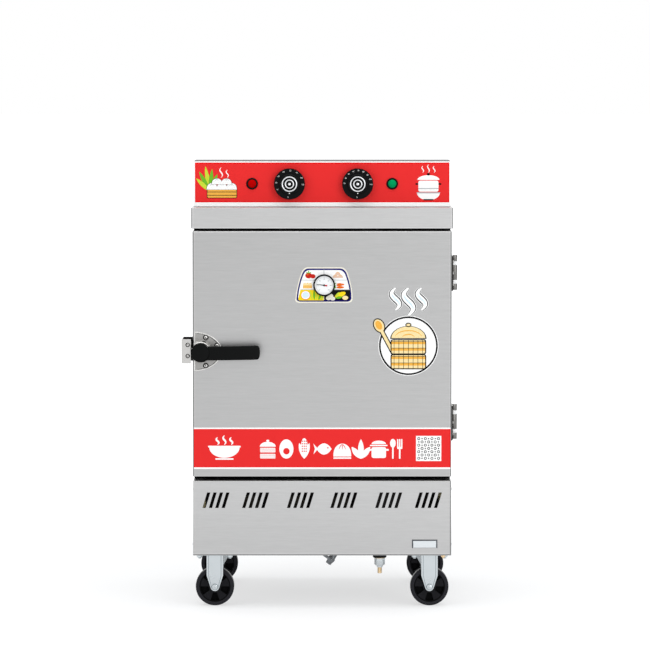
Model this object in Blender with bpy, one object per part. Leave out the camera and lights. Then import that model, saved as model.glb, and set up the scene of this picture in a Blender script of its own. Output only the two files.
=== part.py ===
"""Rice steamer cabinet: an insulated steel cabinet on casters that steams trays of rice.

Metres, +Z up. The front faces -Y and the right side is +X. Pieces are laid out in the
cabinet's own frame, whose X = 0 is the middle of the body, Y = 0 the front face of the
door and Z = 0 the floor. An empty then carries all of it, so that the world's origin lies
on the floor below the middle of the whole object.
"""
from math import atan2, cos, pi, radians, sin

import bmesh
import bpy
from mathutils import Matrix, Vector

for leftover in list(bpy.data.objects):
    bpy.data.objects.remove(leftover, do_unlink=True)

# Fits and sheet metal
GAP = 0.0003
OVERRUN = 0.004
SHEET = 0.0012
FOLD_RADIUS = 0.0022

# Racks and trays, whose size sets the chamber's
TRAY_COUNT = 6
TRAY_WIDTH = 0.595
TRAY_DEPTH = 0.400
TRAY_HEIGHT = 0.048
TRAY_RIM = 0.012
TRAY_CORNER = 0.030
TRAY_DRAFT = 0.006
TRAY_SHEET = 0.0010
TRAY_PITCH = 0.092
LOWEST_RIM = 0.065
RACK_BAR = 0.018
RACK_THICKNESS = 0.0045
RACK_FOOT = 0.010
RAIL_SHEET = 0.0015
RAIL_LEDGE = 0.0145
RAIL_LEG = 0.018
RAIL_OVERHANG = 0.010

# Chamber round the trays, its opening, and the tank below
TRAY_SIDE_ROOM = 0.0095
TRAY_FRONT_SPACE = 0.029
TRAY_BACK_SPACE = 0.039
TRAY_TOP_ROOM = 0.070
CHAMBER_LIP = 0.003
CHAMBER_WIDTH = TRAY_WIDTH + 2 * TRAY_SIDE_ROOM
CHAMBER_DEPTH = TRAY_FRONT_SPACE + TRAY_DEPTH + TRAY_BACK_SPACE
OPENING_WIDTH = CHAMBER_WIDTH - 2 * CHAMBER_LIP
OPENING_HEIGHT = LOWEST_RIM + (TRAY_COUNT - 1) * TRAY_PITCH + TRAY_TOP_ROOM
OPENING_CORNER = 0.010
FRAME_TUCK = 0.020
CHAMBER_HEADROOM = 0.006
TANK_HEIGHT = 0.112

# Cabinet round the chamber
GROUND_CLEARANCE = 0.140
FRONT_PROJECTION = 0.055
SIDE_WALL = 0.031
BACK_WALL = 0.0355
BODY_WIDTH = CHAMBER_WIDTH + 2 * SIDE_WALL
BODY_DEPTH = SHEET + GAP + CHAMBER_DEPTH + BACK_WALL
PANEL_FLANGE = 0.015
PAN_FLANGE = 0.030
FRONT_OVERLAP = 0.002
SKIRT_WIDTH = BODY_WIDTH + 2 * FRONT_OVERLAP
SKIRT_HEIGHT = 0.198
SKIRT_TO_DOOR = 0.0105
DOOR_SILL_LAP = 0.0265
DOOR_HEAD_LAP = 0.0255
DOOR_WIDTH = BODY_WIDTH + 2 * FRONT_OVERLAP
DOOR_HEIGHT = DOOR_SILL_LAP + OPENING_HEIGHT + DOOR_HEAD_LAP
DOOR_THICKNESS = 0.048
DOOR_TO_CAP = 0.0065
CAP_OVERHANG = 0.0055
CAP_WIDTH = BODY_WIDTH + 2 * CAP_OVERHANG
CAP_HEIGHT = 0.055

# Air slots in the skirt: plain slanted slots in six groups
SLOT_WIDTH = 0.0085
SLOT_HEIGHT = 0.041
SLOT_PITCH = 0.0168
SLOTS_PER_GROUP = 4
SLOT_SLANT = radians(17)
SLOT_DROP = 0.0517
SLOT_GROUP_SHARES = (-0.822, -0.515, -0.168, 0.168, 0.515, 0.822)

# Heating elements
ELEMENT_COUNT = 3
ELEMENT_PITCH = 0.120
ELEMENT_TUBE = 0.0090
ELEMENT_BEND = 0.025
ELEMENT_END_ROOM = 0.068
ELEMENT_LENGTH = CHAMBER_DEPTH - ELEMENT_END_ROOM
ELEMENT_HEIGHT = 0.032
ELEMENT_FLANGE = 0.060
ELEMENT_FLANGE_THICKNESS = 0.007
ELEMENT_TERMINAL = 0.014
ELEMENT_SHIFT = -0.070

# Water inlet with the float valve, and its box
INLET_X = 0.152
INLET_Y = 0.028
NIPPLE_DIAMETER = 0.0122
NIPPLE_LENGTH = 0.0165
NIPPLE_BARB = 0.0009
NIPPLE_BARBS = 2
INLET_TAPER = 0.0068
INLET_BODY_DIAMETER = 0.028
INLET_BODY_LENGTH = 0.018
INLET_COLLAR_DIAMETER = 0.036
INLET_COLLAR_LENGTH = 0.0088
RISER_DIAMETER = 0.012
RISER_LENGTH = 0.152
VALVE_HEAD = 0.017
VALVE_PIN_DIAMETER = 0.004
VALVE_PIN_LENGTH = 0.0065
FLOAT_BALL_DIAMETER = 0.030
FLOAT_ARM_LENGTH = 0.060
FLOAT_ARM_ROD = 0.004
FLOAT_EYE_WALL = 0.0025
FLOAT_BOX_FLOOR = 0.098
FLOAT_BOX_HEIGHT = 0.082
FLOAT_BOX_DEPTH = 0.043
FLOAT_BOX_MARGIN = 0.009
FLOAT_BOX_LEFT = 0.020
SPIGOT_DIAMETER = 0.012
SPIGOT_BORE = 0.008
SPIGOT_RISE = 0.020

# Drain valve, a ball valve on a leaning outlet
DRAIN_X = 0.034
DRAIN_Y = 0.104
DRAIN_PIPE_DIAMETER = 0.016
DRAIN_PIPE_WALL = 0.002
DRAIN_NUT_DIAMETER = 0.030
DRAIN_NUT_LENGTH = 0.0065
DRAIN_ELBOW_DROP = 0.010
DRAIN_OUTLET_DIAMETER = 0.015
DRAIN_OUTLET_LENGTH = 0.032
DRAIN_OUTLET_ANGLE = radians(235)
DRAIN_BALL_DIAMETER = 0.021
DRAIN_BALL_SHARE = 0.55
DRAIN_STEM_DIAMETER = 0.006
DRAIN_STEM_LENGTH = 0.006
DRAIN_LEVER_LENGTH = 0.032
DRAIN_LEVER_WIDTH = 0.0075
DRAIN_LEVER_THICKNESS = 0.0025
DRAIN_LEVER_EYE = 0.0125

# Earth bolt under the base
EARTH_INSET = 0.019
EARTH_X = BODY_WIDTH / 2 - EARTH_INSET
EARTH_Y = 0.0115
EARTH_NUT_DIAMETER = 0.0125
EARTH_NUT_LENGTH = 0.005
EARTH_STUD_DIAMETER = 0.006
EARTH_STUD_LENGTH = 0.0035

# Control housing
CONTROL_WIDTH = BODY_WIDTH
CONTROL_HEIGHT = 0.1205
CONTROL_DEPTH = 0.105
CONTROL_SETBACK = 0.060
DIAL_DIAMETER = 0.081
DIAL_THICKNESS = 0.0022
DIAL_EDGE = 0.0008
TIMER_X = -0.0860
THERMOSTAT_X = 0.0935
BUSH_DIAMETER = 0.0098
SHAFT_DIAMETER = 0.006
SHAFT_LENGTH = 0.016
WORKS_WIDTH = 0.050
WORKS_HEIGHT = 0.046
WORKS_DEPTH = 0.030
KNOB_DIAMETER = 0.0545
KNOB_HEIGHT = 0.027
KNOB_BEVEL = 0.0035
KNOB_FACE_RECESS = 0.0012
KNOB_FACE_SHARE = 0.78
KNOB_WALL = 0.004
KNOB_HUB_DIAMETER = 0.014
LAMP_X = 0.1846
LAMP_DIAMETER = 0.031
LAMP_LENS_DIAMETER = 0.0255
LAMP_BEZEL = 0.003
LAMP_DOME = 0.006
LAMP_BARREL_DIAMETER = 0.0216
LAMP_BARREL_LENGTH = 0.032

# Cable gland and steam outlet at the back
GLAND_INSET = 0.098
GLAND_X = BODY_WIDTH / 2 - GLAND_INSET
GLAND_NUT_DIAMETER = 0.027
GLAND_NUT_LENGTH = 0.008
GLAND_DOME_LENGTH = 0.012
GLAND_THROAT_DIAMETER = 0.011
GLAND_THREAD_DIAMETER = 0.0195
GLAND_THREAD_LENGTH = 0.010
STEAM_INSET = 0.148
STEAM_X = BODY_WIDTH / 2 - STEAM_INSET
STEAM_DROP = 0.050
STEAM_DIAMETER = 0.038
STEAM_WALL = 0.002
STEAM_STUB = 0.022
STEAM_FLANGE_DIAMETER = 0.058
STEAM_FLANGE_THICKNESS = 0.0025

# Gasket and door hinges
GASKET_WIDTH = 0.013
GASKET_INSET = 0.012
GASKET_CORNER = 0.014
HINGE_PIN_OUT = 0.0083
HINGE_PIN_DEPTH = 0.050
HINGE_BARREL_DIAMETER = 0.0158
HINGE_HEIGHT = 0.092
HINGE_END_KNUCKLE = 0.016
HINGE_BARREL = 0.044
HINGE_WASHER_DIAMETER = 0.0142
HINGE_PIN_DIAMETER = 0.006
HINGE_LEAF_THICKNESS = 0.0032
HINGE_LEAF_REACH = 0.048
HINGE_LEAF_CORNER = 0.004
HINGE_UPPER_DROP = 0.1113
HINGE_LOWER_DROP = 0.5057

# Latch
LATCH_PIVOT_IN = 0.0217
LATCH_DROP = 0.3161
LATCH_PLATE_EDGE = 0.0034
LATCH_PLATE_WIDTH = 0.0736
LATCH_PLATE_HEIGHT = 0.105
LATCH_PLATE_THICKNESS = 0.0035
LATCH_BOSS_DIAMETER = 0.052
LATCH_BOSS_HEIGHT = 0.008
LATCH_BOSS_TAPER = 0.0015
LATCH_SPINDLE_DIAMETER = 0.012
TONGUE_HUB_DIAMETER = 0.046
TONGUE_THICKNESS = 0.007
TONGUE_WIDTH = 0.020
TONGUE_OVERHANG = 0.0028
LEVER_CAP_DIAMETER = 0.0444
LEVER_CAP_HEIGHT = 0.030
LEVER_CAP_BEVEL = 0.003
LEVER_REACH = 0.156
LEVER_ROOT_HEIGHT = 0.0344
LEVER_TIP_HEIGHT = 0.0316
LEVER_ROOT_THICKNESS = 0.018
LEVER_TIP_THICKNESS = 0.0105
LEVER_RISE = 0.0042
LEVER_BOW = 0.005
LEVER_CORNER = 0.0042
LEVER_TIP_ROUND = 0.006
KEEPER_HEIGHT = 0.068
KEEPER_WIDTH = 0.026
KEEPER_GAP = 0.0010
KEEPER_PLATE = 0.0035
KEEPER_PROUD = 0.027
KEEPER_LEG = 0.045

# Thermometer in the door
THERMOMETER_X = 0.0053
THERMOMETER_DROP = 0.142
THERMOMETER_DIAMETER = 0.0574
THERMOMETER_DEPTH = 0.0085
THERMOMETER_RIM = 0.0038
THERMOMETER_RECESS = 0.0045
THERMOMETER_BEVEL = 0.0016
THERMOMETER_STEM_DIAMETER = 0.008
THERMOMETER_STEM_LENGTH = 0.080
THERMOMETER_STUD_DIAMETER = 0.0016
NEEDLE_LENGTH = 0.0185
NEEDLE_TAIL = 0.0070
NEEDLE_WIDTH = 0.0014
NEEDLE_HUB_DIAMETER = 0.0052
NEEDLE_THICKNESS = 0.0008
NEEDLE_REST_ANGLE = radians(172)

# Casters
WHEEL_RADIUS = 0.0508
WHEEL_WIDTH = 0.032
WHEEL_SEGMENTS = 24
WHEEL_HUB_DIAMETER = 0.026
WHEEL_HUB_WIDTH = 0.034
WHEEL_CROWN = 0.0035
WHEEL_RIM = 0.0105
WHEEL_FACE_RECESS = 0.0025
WHEEL_POCKETS = 5
WHEEL_POCKET_SHARE = 0.45
WHEEL_POCKET_DEPTH = 0.0075
WHEEL_RIB = 0.0055
AXLE_DIAMETER = 0.010
AXLE_HEAD_DIAMETER = 0.0145
AXLE_HEAD_HEIGHT = 0.005
CASTER_PLATE_LENGTH = 0.102
CASTER_PLATE_WIDTH = 0.084
CASTER_PLATE_THICKNESS = 0.003
CASTER_PLATE_CORNER = 0.008
CASTER_BOLT_PITCH_X = 0.080
CASTER_BOLT_PITCH_Y = 0.060
CASTER_BOLT_DIAMETER = 0.009
FORK_SHEET = 0.003
FORK_WIDTH = 0.0435
FORK_SIDE_GAP = 0.0022
FORK_TIP_RADIUS = 0.0116
FORK_SHOULDER = 0.081
FRONT_CASTER_INSET = 0.054
FRONT_CASTER_X = BODY_WIDTH / 2 - FRONT_CASTER_INSET
FRONT_CASTER_Y = 0.062
REAR_CASTER_INSET = 0.084
REAR_CASTER_X = BODY_WIDTH / 2 - REAR_CASTER_INSET
REAR_CASTER_BACK = 0.065
CASTER_TRAIL = 0.030
RACEWAY_DIAMETER = 0.060
RACEWAY_HEIGHT = 0.0085
SWIVEL_CROWN = 0.007
KINGPIN_DIAMETER = 0.012
KINGPIN_NUT_DIAMETER = 0.022
KINGPIN_NUT_HEIGHT = 0.006

# Levels and planes worked out from the sizes
HALF_BODY = BODY_WIDTH / 2
BODY_FRONT = FRONT_PROJECTION
BODY_BACK = BODY_FRONT + BODY_DEPTH
SKIRT_TOP = GROUND_CLEARANCE + SKIRT_HEIGHT
DOOR_BOTTOM = SKIRT_TOP + SKIRT_TO_DOOR
DOOR_TOP = DOOR_BOTTOM + DOOR_HEIGHT
CAP_BOTTOM = DOOR_TOP + DOOR_TO_CAP
CAP_TOP = CAP_BOTTOM + CAP_HEIGHT
ROOF_UNDERSIDE = CAP_TOP - SHEET - GAP
SKIN = SHEET + GAP
OPENING_BOTTOM = DOOR_BOTTOM + DOOR_SILL_LAP
OPENING_TOP = OPENING_BOTTOM + OPENING_HEIGHT
CHAMBER_TOP = OPENING_TOP + CHAMBER_HEADROOM
CHAMBER_FRONT = BODY_FRONT + SKIN
CHAMBER_BACK = CHAMBER_FRONT + CHAMBER_DEPTH
HALF_CHAMBER = CHAMBER_WIDTH / 2
TANK_TOP = SKIRT_TOP + SKIRT_TO_DOOR / 2
TANK_BOTTOM = TANK_TOP - TANK_HEIGHT
CONTROL_TOP = CAP_TOP + GAP + CONTROL_HEIGHT
CONTROL_MIDDLE = CAP_TOP + GAP + CONTROL_HEIGHT / 2
HINGE_PIN_X = DOOR_WIDTH / 2 + HINGE_PIN_OUT
LATCH_X = -DOOR_WIDTH / 2 + LATCH_PIVOT_IN
LATCH_Z = DOOR_TOP - LATCH_DROP
KEEPER_RIGHT = -DOOR_WIDTH / 2 - TONGUE_OVERHANG - KEEPER_GAP
KEEPER_LEFT = KEEPER_RIGHT - KEEPER_WIDTH
LEVER_FRONT = -(
    GAP + LATCH_PLATE_THICKNESS + LATCH_BOSS_HEIGHT + GAP + TONGUE_THICKNESS + GAP + LEVER_CAP_HEIGHT
)

# Where the cabinet's frame stands in the world, so that the origin is below the middle of the whole
OFFSET = Vector((
    -(KEEPER_LEFT + HINGE_PIN_X + HINGE_BARREL_DIAMETER / 2) / 2,
    -(LEVER_FRONT + BODY_BACK + STEAM_STUB) / 2,
    0,
))


def paint(name, colour, roughness, metallic):
    """A Principled material with an sRGB hex colour."""
    finish = bpy.data.materials.new(name)
    finish.use_nodes = True
    shader = finish.node_tree.nodes["Principled BSDF"]
    channels = [int(colour[i:i + 2], 16) / 255 for i in (0, 2, 4)]
    linear = [c / 12.92 if c <= 0.04045 else ((c + 0.055) / 1.055) ** 2.4 for c in channels]
    shader.inputs["Base Color"].default_value = (*linear, 1)
    shader.inputs["Roughness"].default_value = roughness
    shader.inputs["Metallic"].default_value = metallic
    finish.diffuse_color = (*linear, 1)
    return finish


STEEL = paint("brushed stainless", "BEC0C2", 0.35, 1.0)
BRIGHT_STEEL = paint("polished stainless", "D2D4D6", 0.2, 1.0)
ZINC = paint("zinc plated steel", "C4CCD0", 0.3, 1.0)
BRASS = paint("brass", "C9A76A", 0.3, 1.0)
BLACK_PLASTIC = paint("black plastic", "17181A", 0.45, 0.0)
BLACK_RUBBER = paint("black wheel tread", "1E1F20", 0.7, 0.0)
FOAM = paint("polyurethane foam", "E3D6A6", 0.9, 0.0)
SILICONE = paint("grey silicone", "8A8C8E", 0.6, 0.0)
RED_LENS = paint("red lens", "C0140F", 0.15, 0.0)
GREEN_LENS = paint("green lens", "00A468", 0.15, 0.0)
RED_ENAMEL = paint("red needle", "C81E1A", 0.4, 0.0)

CABINET = bpy.data.objects.new("cabinet_frame", None)
bpy.context.collection.objects.link(CABINET)
CABINET.location = OFFSET
PLACES = {CABINET: Vector()}


def axis_frame(axis, at):
    """Turns local +Z onto the named axis and moves the origin to a point."""
    turn = {
        "+Z": Matrix(),
        "-Z": Matrix.Rotation(pi, 4, "X"),
        "+X": Matrix.Rotation(pi / 2, 4, "Y"),
        "-X": Matrix.Rotation(-pi / 2, 4, "Y"),
        "+Y": Matrix.Rotation(-pi / 2, 4, "X"),
        "-Y": Matrix.Rotation(pi / 2, 4, "X"),
    }[axis]
    return Matrix.Translation(at) @ turn


def add_box(bm, low, high):
    """Adds a box between two corners."""
    middle = [(a + b) / 2 for a, b in zip(low, high)]
    size = [abs(b - a) for a, b in zip(low, high)]
    place = Matrix.Translation(middle) @ Matrix.Diagonal((*size, 1))
    return bmesh.ops.create_cube(bm, size=1, matrix=place)["verts"]


def add_prism(bm, outline, axis, start, end):
    """Adds an outline extruded along X, Y or Z; its points are the other two coordinates in order."""
    lift = {
        "X": lambda p, q, h: (h, p, q),
        "Y": lambda p, q, h: (p, h, q),
        "Z": lambda p, q, h: (p, q, h),
    }[axis]
    face = bm.faces.new([bm.verts.new(lift(p, q, start)) for p, q in outline])
    moved = bmesh.ops.extrude_face_region(bm, geom=[face])["geom"]
    top = [v for v in moved if isinstance(v, bmesh.types.BMVert)]
    bmesh.ops.translate(bm, verts=top, vec=lift(0, 0, end - start))
    faces = {f for v in top for f in v.link_faces} | {f for v in face.verts for f in v.link_faces}
    bmesh.ops.recalc_face_normals(bm, faces=list(faces))


def add_lathe(bm, profile, segments, place, closed=False):
    """Adds a profile of (radius, height) points turned about local Z and put at a place."""
    before = set(bm.verts)
    half_step = Matrix.Rotation(pi / segments, 4, "Z")
    verts = [bm.verts.new(half_step @ Vector((r, 0, h))) for r, h in profile]
    edges = [bm.edges.new(pair) for pair in zip(verts, verts[1:])]
    if closed:
        edges.append(bm.edges.new((verts[-1], verts[0])))
    bmesh.ops.spin(
        bm, geom=verts + edges, cent=(0, 0, 0), axis=(0, 0, 1), angle=2 * pi,
        steps=segments, use_merge=True,
    )
    new = [v for v in bm.verts if v not in before]
    bmesh.ops.remove_doubles(bm, verts=new, dist=GAP / 100)
    new = [v for v in bm.verts if v not in before]
    bmesh.ops.recalc_face_normals(bm, faces=list({f for v in new for f in v.link_faces}))
    bmesh.ops.transform(bm, matrix=place, verts=new)
    return new


def add_rod(bm, radius, start, end, segments, axis):
    """Adds a plain round rod along an axis from one point to another level of that axis."""
    length = (Vector(end) - Vector(start)).length
    add_lathe(bm, [(0, 0), (radius, 0), (radius, length), (0, length)], segments, axis_frame(axis, start))


def add_bore(bm, radius, start, end, segments, axis):
    """Adds a rod whose flats clear a round of the radius, to cut a hole with."""
    add_rod(bm, radius / cos(pi / segments), start, end, segments, axis)


def add_tube(bm, path, radius, sides):
    """Adds a round bar that follows a path lying in a level plane."""
    rings = []
    for i, point in enumerate(path):
        ahead = path[min(i + 1, len(path) - 1)]
        behind = path[max(i - 1, 0)]
        along = (ahead - behind).normalized()
        across = along.cross(Vector((0, 0, 1)))
        turns = [2 * pi * (k + 1 / 2) / sides for k in range(sides)]
        around = [cos(t) * across + Vector((0, 0, sin(t))) for t in turns]
        rings.append([bm.verts.new(point + radius * spoke) for spoke in around])
    for near, far in zip(rings, rings[1:]):
        for k in range(sides):
            bm.faces.new((near[k], near[(k + 1) % sides], far[(k + 1) % sides], far[k]))
    bm.faces.new(rings[0])
    bm.faces.new(rings[-1])
    bmesh.ops.recalc_face_normals(bm, faces=bm.faces)


def arc(centre, radius, start, end, steps):
    """Points on an arc, both ends included."""
    return [
        (
            centre[0] + radius * cos(start + (end - start) * i / steps),
            centre[1] + radius * sin(start + (end - start) * i / steps),
        )
        for i in range(steps + 1)
    ]


def rounded(left, bottom, right, top, radius, steps=3):
    """Outline of a rectangle with rounded corners, counterclockwise from its lower right."""
    corners = (
        (right - radius, bottom + radius, -pi / 2),
        (right - radius, top - radius, 0),
        (left + radius, top - radius, pi / 2),
        (left + radius, bottom + radius, pi),
    )
    return [p for x, y, a in corners for p in arc((x, y), radius, a, a + pi / 2, steps)]


def make(name, bm, finish, at=(0, 0, 0), parent=None, smooth=True):
    """Turns a mesh laid out in the cabinet's frame into an object whose origin is a given point."""
    origin = Vector(at)
    bmesh.ops.translate(bm, verts=bm.verts, vec=-origin)
    mesh = bpy.data.meshes.new(name)
    bm.to_mesh(mesh)
    bm.free()
    mesh.materials.append(finish)
    if smooth:
        mesh.shade_smooth()
        mesh.set_sharp_from_angle(angle=radians(35))
    piece = bpy.data.objects.new(name, mesh)
    bpy.context.collection.objects.link(piece)
    carrier = parent or CABINET
    piece.parent = carrier
    piece.location = origin - PLACES[carrier]
    PLACES[piece] = origin
    return piece


def boolean(piece, bm, operation):
    """Cuts a mesh out of a piece, or joins one to it, with a hidden helper object."""
    helper = make(f"{piece.name}_{operation.lower()}_{len(piece.modifiers)}", bm, piece.data.materials[0])
    helper.hide_render = True
    helper.display_type = "WIRE"
    modifier = piece.modifiers.new(operation.lower(), "BOOLEAN")
    modifier.operation = operation
    modifier.object = helper
    modifier.solver = "EXACT"


def cut(piece, bm):
    boolean(piece, bm, "DIFFERENCE")


def join(piece, bm):
    boolean(piece, bm, "UNION")


def thicken(piece, thickness):
    """Gives an open surface a wall on its inner side."""
    modifier = piece.modifiers.new("sheet", "SOLIDIFY")
    modifier.thickness = thickness
    modifier.offset = -1
    modifier.use_even_offset = True
    modifier.use_quality_normals = True


def folded_box(low, high, open_sides):
    """The outer surface of a folded sheet box, with its open sides left out and its folds rounded."""
    bm = bmesh.new()
    add_box(bm, low, high)
    bm.normal_update()
    sides = {
        "+X": (1, 0, 0), "-X": (-1, 0, 0), "+Y": (0, 1, 0),
        "-Y": (0, -1, 0), "+Z": (0, 0, 1), "-Z": (0, 0, -1),
    }
    gone = [f for f in bm.faces for s in open_sides if f.normal.dot(Vector(sides[s])) > 0.9]
    bmesh.ops.delete(bm, geom=gone, context="FACES")
    return bm


def round_folds(bm):
    """Bevels every edge between two faces to the fold radius."""
    folds = [e for e in bm.edges if len(e.link_faces) == 2]
    bmesh.ops.bevel(
        bm, geom=folds, offset=FOLD_RADIUS, segments=2, profile=0.5, affect="EDGES", material=-1,
    )


def flat_ring(outer, inner, level):
    """A flat ring in the XZ plane between two outlines of as many points, facing -Y."""
    bm = bmesh.new()
    loops = []
    for outline in (outer, inner):
        verts = [bm.verts.new((x, level, z)) for x, z in outline]
        loops.append([bm.edges.new((a, b)) for a, b in zip(verts, verts[1:] + verts[:1])])
    bmesh.ops.bridge_loops(bm, edges=loops[0] + loops[1])
    bm.normal_update()
    if next(iter(bm.faces)).normal.y > 0:
        bmesh.ops.reverse_faces(bm, faces=bm.faces)
    return bm


def side_panel(name, side):
    """Outer side skin, with its front and back edges folded in."""
    front = BODY_FRONT + SKIN
    back = BODY_BACK - SKIN
    bottom = GROUND_CLEARANCE + SKIN
    inner = side * (HALF_BODY - PANEL_FLANGE)
    bm = folded_box(
        (min(inner, side * HALF_BODY), front, bottom), (max(inner, side * HALF_BODY), back, ROOF_UNDERSIDE),
        ("-X" if side > 0 else "+X", "+Z", "-Z"),
    )
    round_folds(bm)
    low_edges = [
        e for e in bm.edges
        if all(abs(v.co.z - bottom) < GAP and abs(v.co.x - side * HALF_BODY) < GAP / 10 for v in e.verts)
    ]
    grown = bmesh.ops.extrude_edge_only(bm, edges=low_edges)["geom"]
    bmesh.ops.translate(
        bm, verts=[v for v in grown if isinstance(v, bmesh.types.BMVert)], vec=(0, 0, -SKIN)
    )
    thicken(make(name, bm, STEEL), SHEET)


def back_panel():
    """Flat back skin between the side panels' folds and the cap's back fold."""
    bm = bmesh.new()
    add_box(bm, (-HALF_BODY, BODY_BACK - SHEET, GROUND_CLEARANCE), (HALF_BODY, BODY_BACK, ROOF_UNDERSIDE))
    panel = make("back_panel", bm, STEEL)
    cut(panel, steam_hole())


def top_cap():
    """The folded lid over the roof; at the front it stands ahead of the body and turns back under."""
    bm = folded_box(
        (-CAP_WIDTH / 2, 0, CAP_BOTTOM), (CAP_WIDTH / 2, BODY_BACK + CAP_OVERHANG, CAP_TOP), ()
    )
    under = [f for f in bm.faces if f.normal.z < -0.9]
    geometry = under + list(under[0].edges) + list(under[0].verts)
    bmesh.ops.bisect_plane(
        bm, geom=geometry, dist=GAP / 100, plane_co=(0, BODY_FRONT - GAP, 0), plane_no=(0, 1, 0)
    )
    bm.normal_update()
    behind = [f for f in bm.faces if f.normal.z < -0.9 and f.calc_center_median().y > BODY_FRONT]
    bmesh.ops.delete(bm, geom=behind, context="FACES")
    round_folds(bm)
    thicken(make("top_cap", bm, STEEL), SHEET)


def base_pan():
    """Bottom sheet of the cabinet, turned up at the front and back; the casters bolt under it."""
    half = HALF_BODY - SKIN - GAP
    bm = folded_box(
        (-half, SKIN, GROUND_CLEARANCE), (half, BODY_BACK - 2 * SKIN, GROUND_CLEARANCE + PAN_FLANGE),
        ("+X", "-X", "+Z"),
    )
    round_folds(bm)
    pan = make("base_pan", bm, STEEL)
    thicken(pan, SHEET)
    holes = bmesh.new()
    for x, y, diameter in (
        (INLET_X, INLET_Y, RISER_DIAMETER), (DRAIN_X, DRAIN_Y, DRAIN_PIPE_DIAMETER),
    ):
        start = (x, y, GROUND_CLEARANCE - OVERRUN)
        add_bore(holes, diameter / 2 + GAP, start, (x, y, GROUND_CLEARANCE + OVERRUN), 12, "+Z")
    cut(pan, holes)


def skirt_panel():
    """Front cover of the lower compartment, a box open behind and below, with slanted air slots."""
    bm = folded_box(
        (-SKIRT_WIDTH / 2, 0, GROUND_CLEARANCE), (SKIRT_WIDTH / 2, BODY_FRONT - GAP, SKIRT_TOP),
        ("+Y", "-Z"),
    )
    round_folds(bm)
    skirt = make("skirt_panel", bm, STEEL)
    thicken(skirt, SHEET)
    slots = bmesh.new()
    lean = SLOT_HEIGHT / 2 * sin(SLOT_SLANT) / cos(SLOT_SLANT)
    middle = SKIRT_TOP - SLOT_DROP
    for share in SLOT_GROUP_SHARES:
        for i in range(SLOTS_PER_GROUP):
            x = share * SKIRT_WIDTH / 2 + (i - (SLOTS_PER_GROUP - 1) / 2) * SLOT_PITCH
            outline = [
                (x - lean - SLOT_WIDTH / 2, middle - SLOT_HEIGHT / 2),
                (x - lean + SLOT_WIDTH / 2, middle - SLOT_HEIGHT / 2),
                (x + lean + SLOT_WIDTH / 2, middle + SLOT_HEIGHT / 2),
                (x + lean - SLOT_WIDTH / 2, middle + SLOT_HEIGHT / 2),
            ]
            add_prism(slots, outline, "Y", -OVERRUN, OVERRUN)
    cut(skirt, slots)


def front_frame():
    """Flat frame round the chamber's opening, which the door's gasket closes on."""
    outer = rounded(
        -HALF_BODY, SKIRT_TOP - FRAME_TUCK, HALF_BODY, ROOF_UNDERSIDE, FOLD_RADIUS, 3
    )
    inner = rounded(
        -OPENING_WIDTH / 2, OPENING_BOTTOM, OPENING_WIDTH / 2, OPENING_TOP, OPENING_CORNER, 3
    )
    thicken(make("front_frame", flat_ring(outer, inner, BODY_FRONT), STEEL), SHEET)


def steam_hole():
    """Cutter for the steam outlet's hole through the back wall."""
    bm = bmesh.new()
    start = (STEAM_X, CHAMBER_BACK - OVERRUN, CHAMBER_TOP - STEAM_DROP)
    end = (STEAM_X, BODY_BACK + OVERRUN, CHAMBER_TOP - STEAM_DROP)
    add_bore(bm, STEAM_DIAMETER / 2 + GAP, start, end, 20, "+Y")
    return bm


def chamber_liner():
    """Inner skin of the steaming chamber: two sides, back and top; it stands on the tank."""
    half = HALF_CHAMBER + SHEET
    bm = folded_box(
        (-half, CHAMBER_FRONT, TANK_TOP), (half, CHAMBER_BACK + SHEET, CHAMBER_TOP + SHEET),
        ("-Y", "-Z"),
    )
    round_folds(bm)
    liner = make("chamber_liner", bm, STEEL)
    thicken(liner, SHEET)
    cut(liner, steam_hole())


def element_positions():
    """Middles of the heating elements across the tank."""
    return [
        ELEMENT_SHIFT + (i - (ELEMENT_COUNT - 1) / 2) * ELEMENT_PITCH for i in range(ELEMENT_COUNT)
    ]


def water_tank():
    """Water trough under the chamber, welded at its corners, with holes for the elements and pipes."""
    half = HALF_CHAMBER + SHEET
    bm = folded_box(
        (-half, CHAMBER_FRONT, TANK_BOTTOM), (half, CHAMBER_BACK + SHEET, TANK_TOP - GAP), ("+Z",)
    )
    tank = make("water_tank", bm, STEEL)
    thicken(tank, SHEET)
    holes = bmesh.new()
    level = TANK_BOTTOM + ELEMENT_HEIGHT
    for middle in element_positions():
        for side in (-1, 1):
            x = middle + side * ELEMENT_BEND
            start = (x, CHAMBER_FRONT - OVERRUN, level)
            end = (x, CHAMBER_FRONT + OVERRUN, level)
            add_bore(holes, ELEMENT_TUBE / 2 + GAP, start, end, 8, "+Y")
    spigot = (spigot_x(), CHAMBER_FRONT - OVERRUN, TANK_BOTTOM + SPIGOT_RISE)
    end = (spigot_x(), CHAMBER_FRONT + OVERRUN, TANK_BOTTOM + SPIGOT_RISE)
    add_bore(holes, SPIGOT_DIAMETER / 2 + GAP, spigot, end, 12, "+Y")
    drain = (DRAIN_X, DRAIN_Y, TANK_BOTTOM - OVERRUN)
    end = (DRAIN_X, DRAIN_Y, TANK_BOTTOM + OVERRUN)
    add_rod(holes, DRAIN_PIPE_DIAMETER / 2 - DRAIN_PIPE_WALL, drain, end, 12, "+Z")
    cut(tank, holes)


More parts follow.
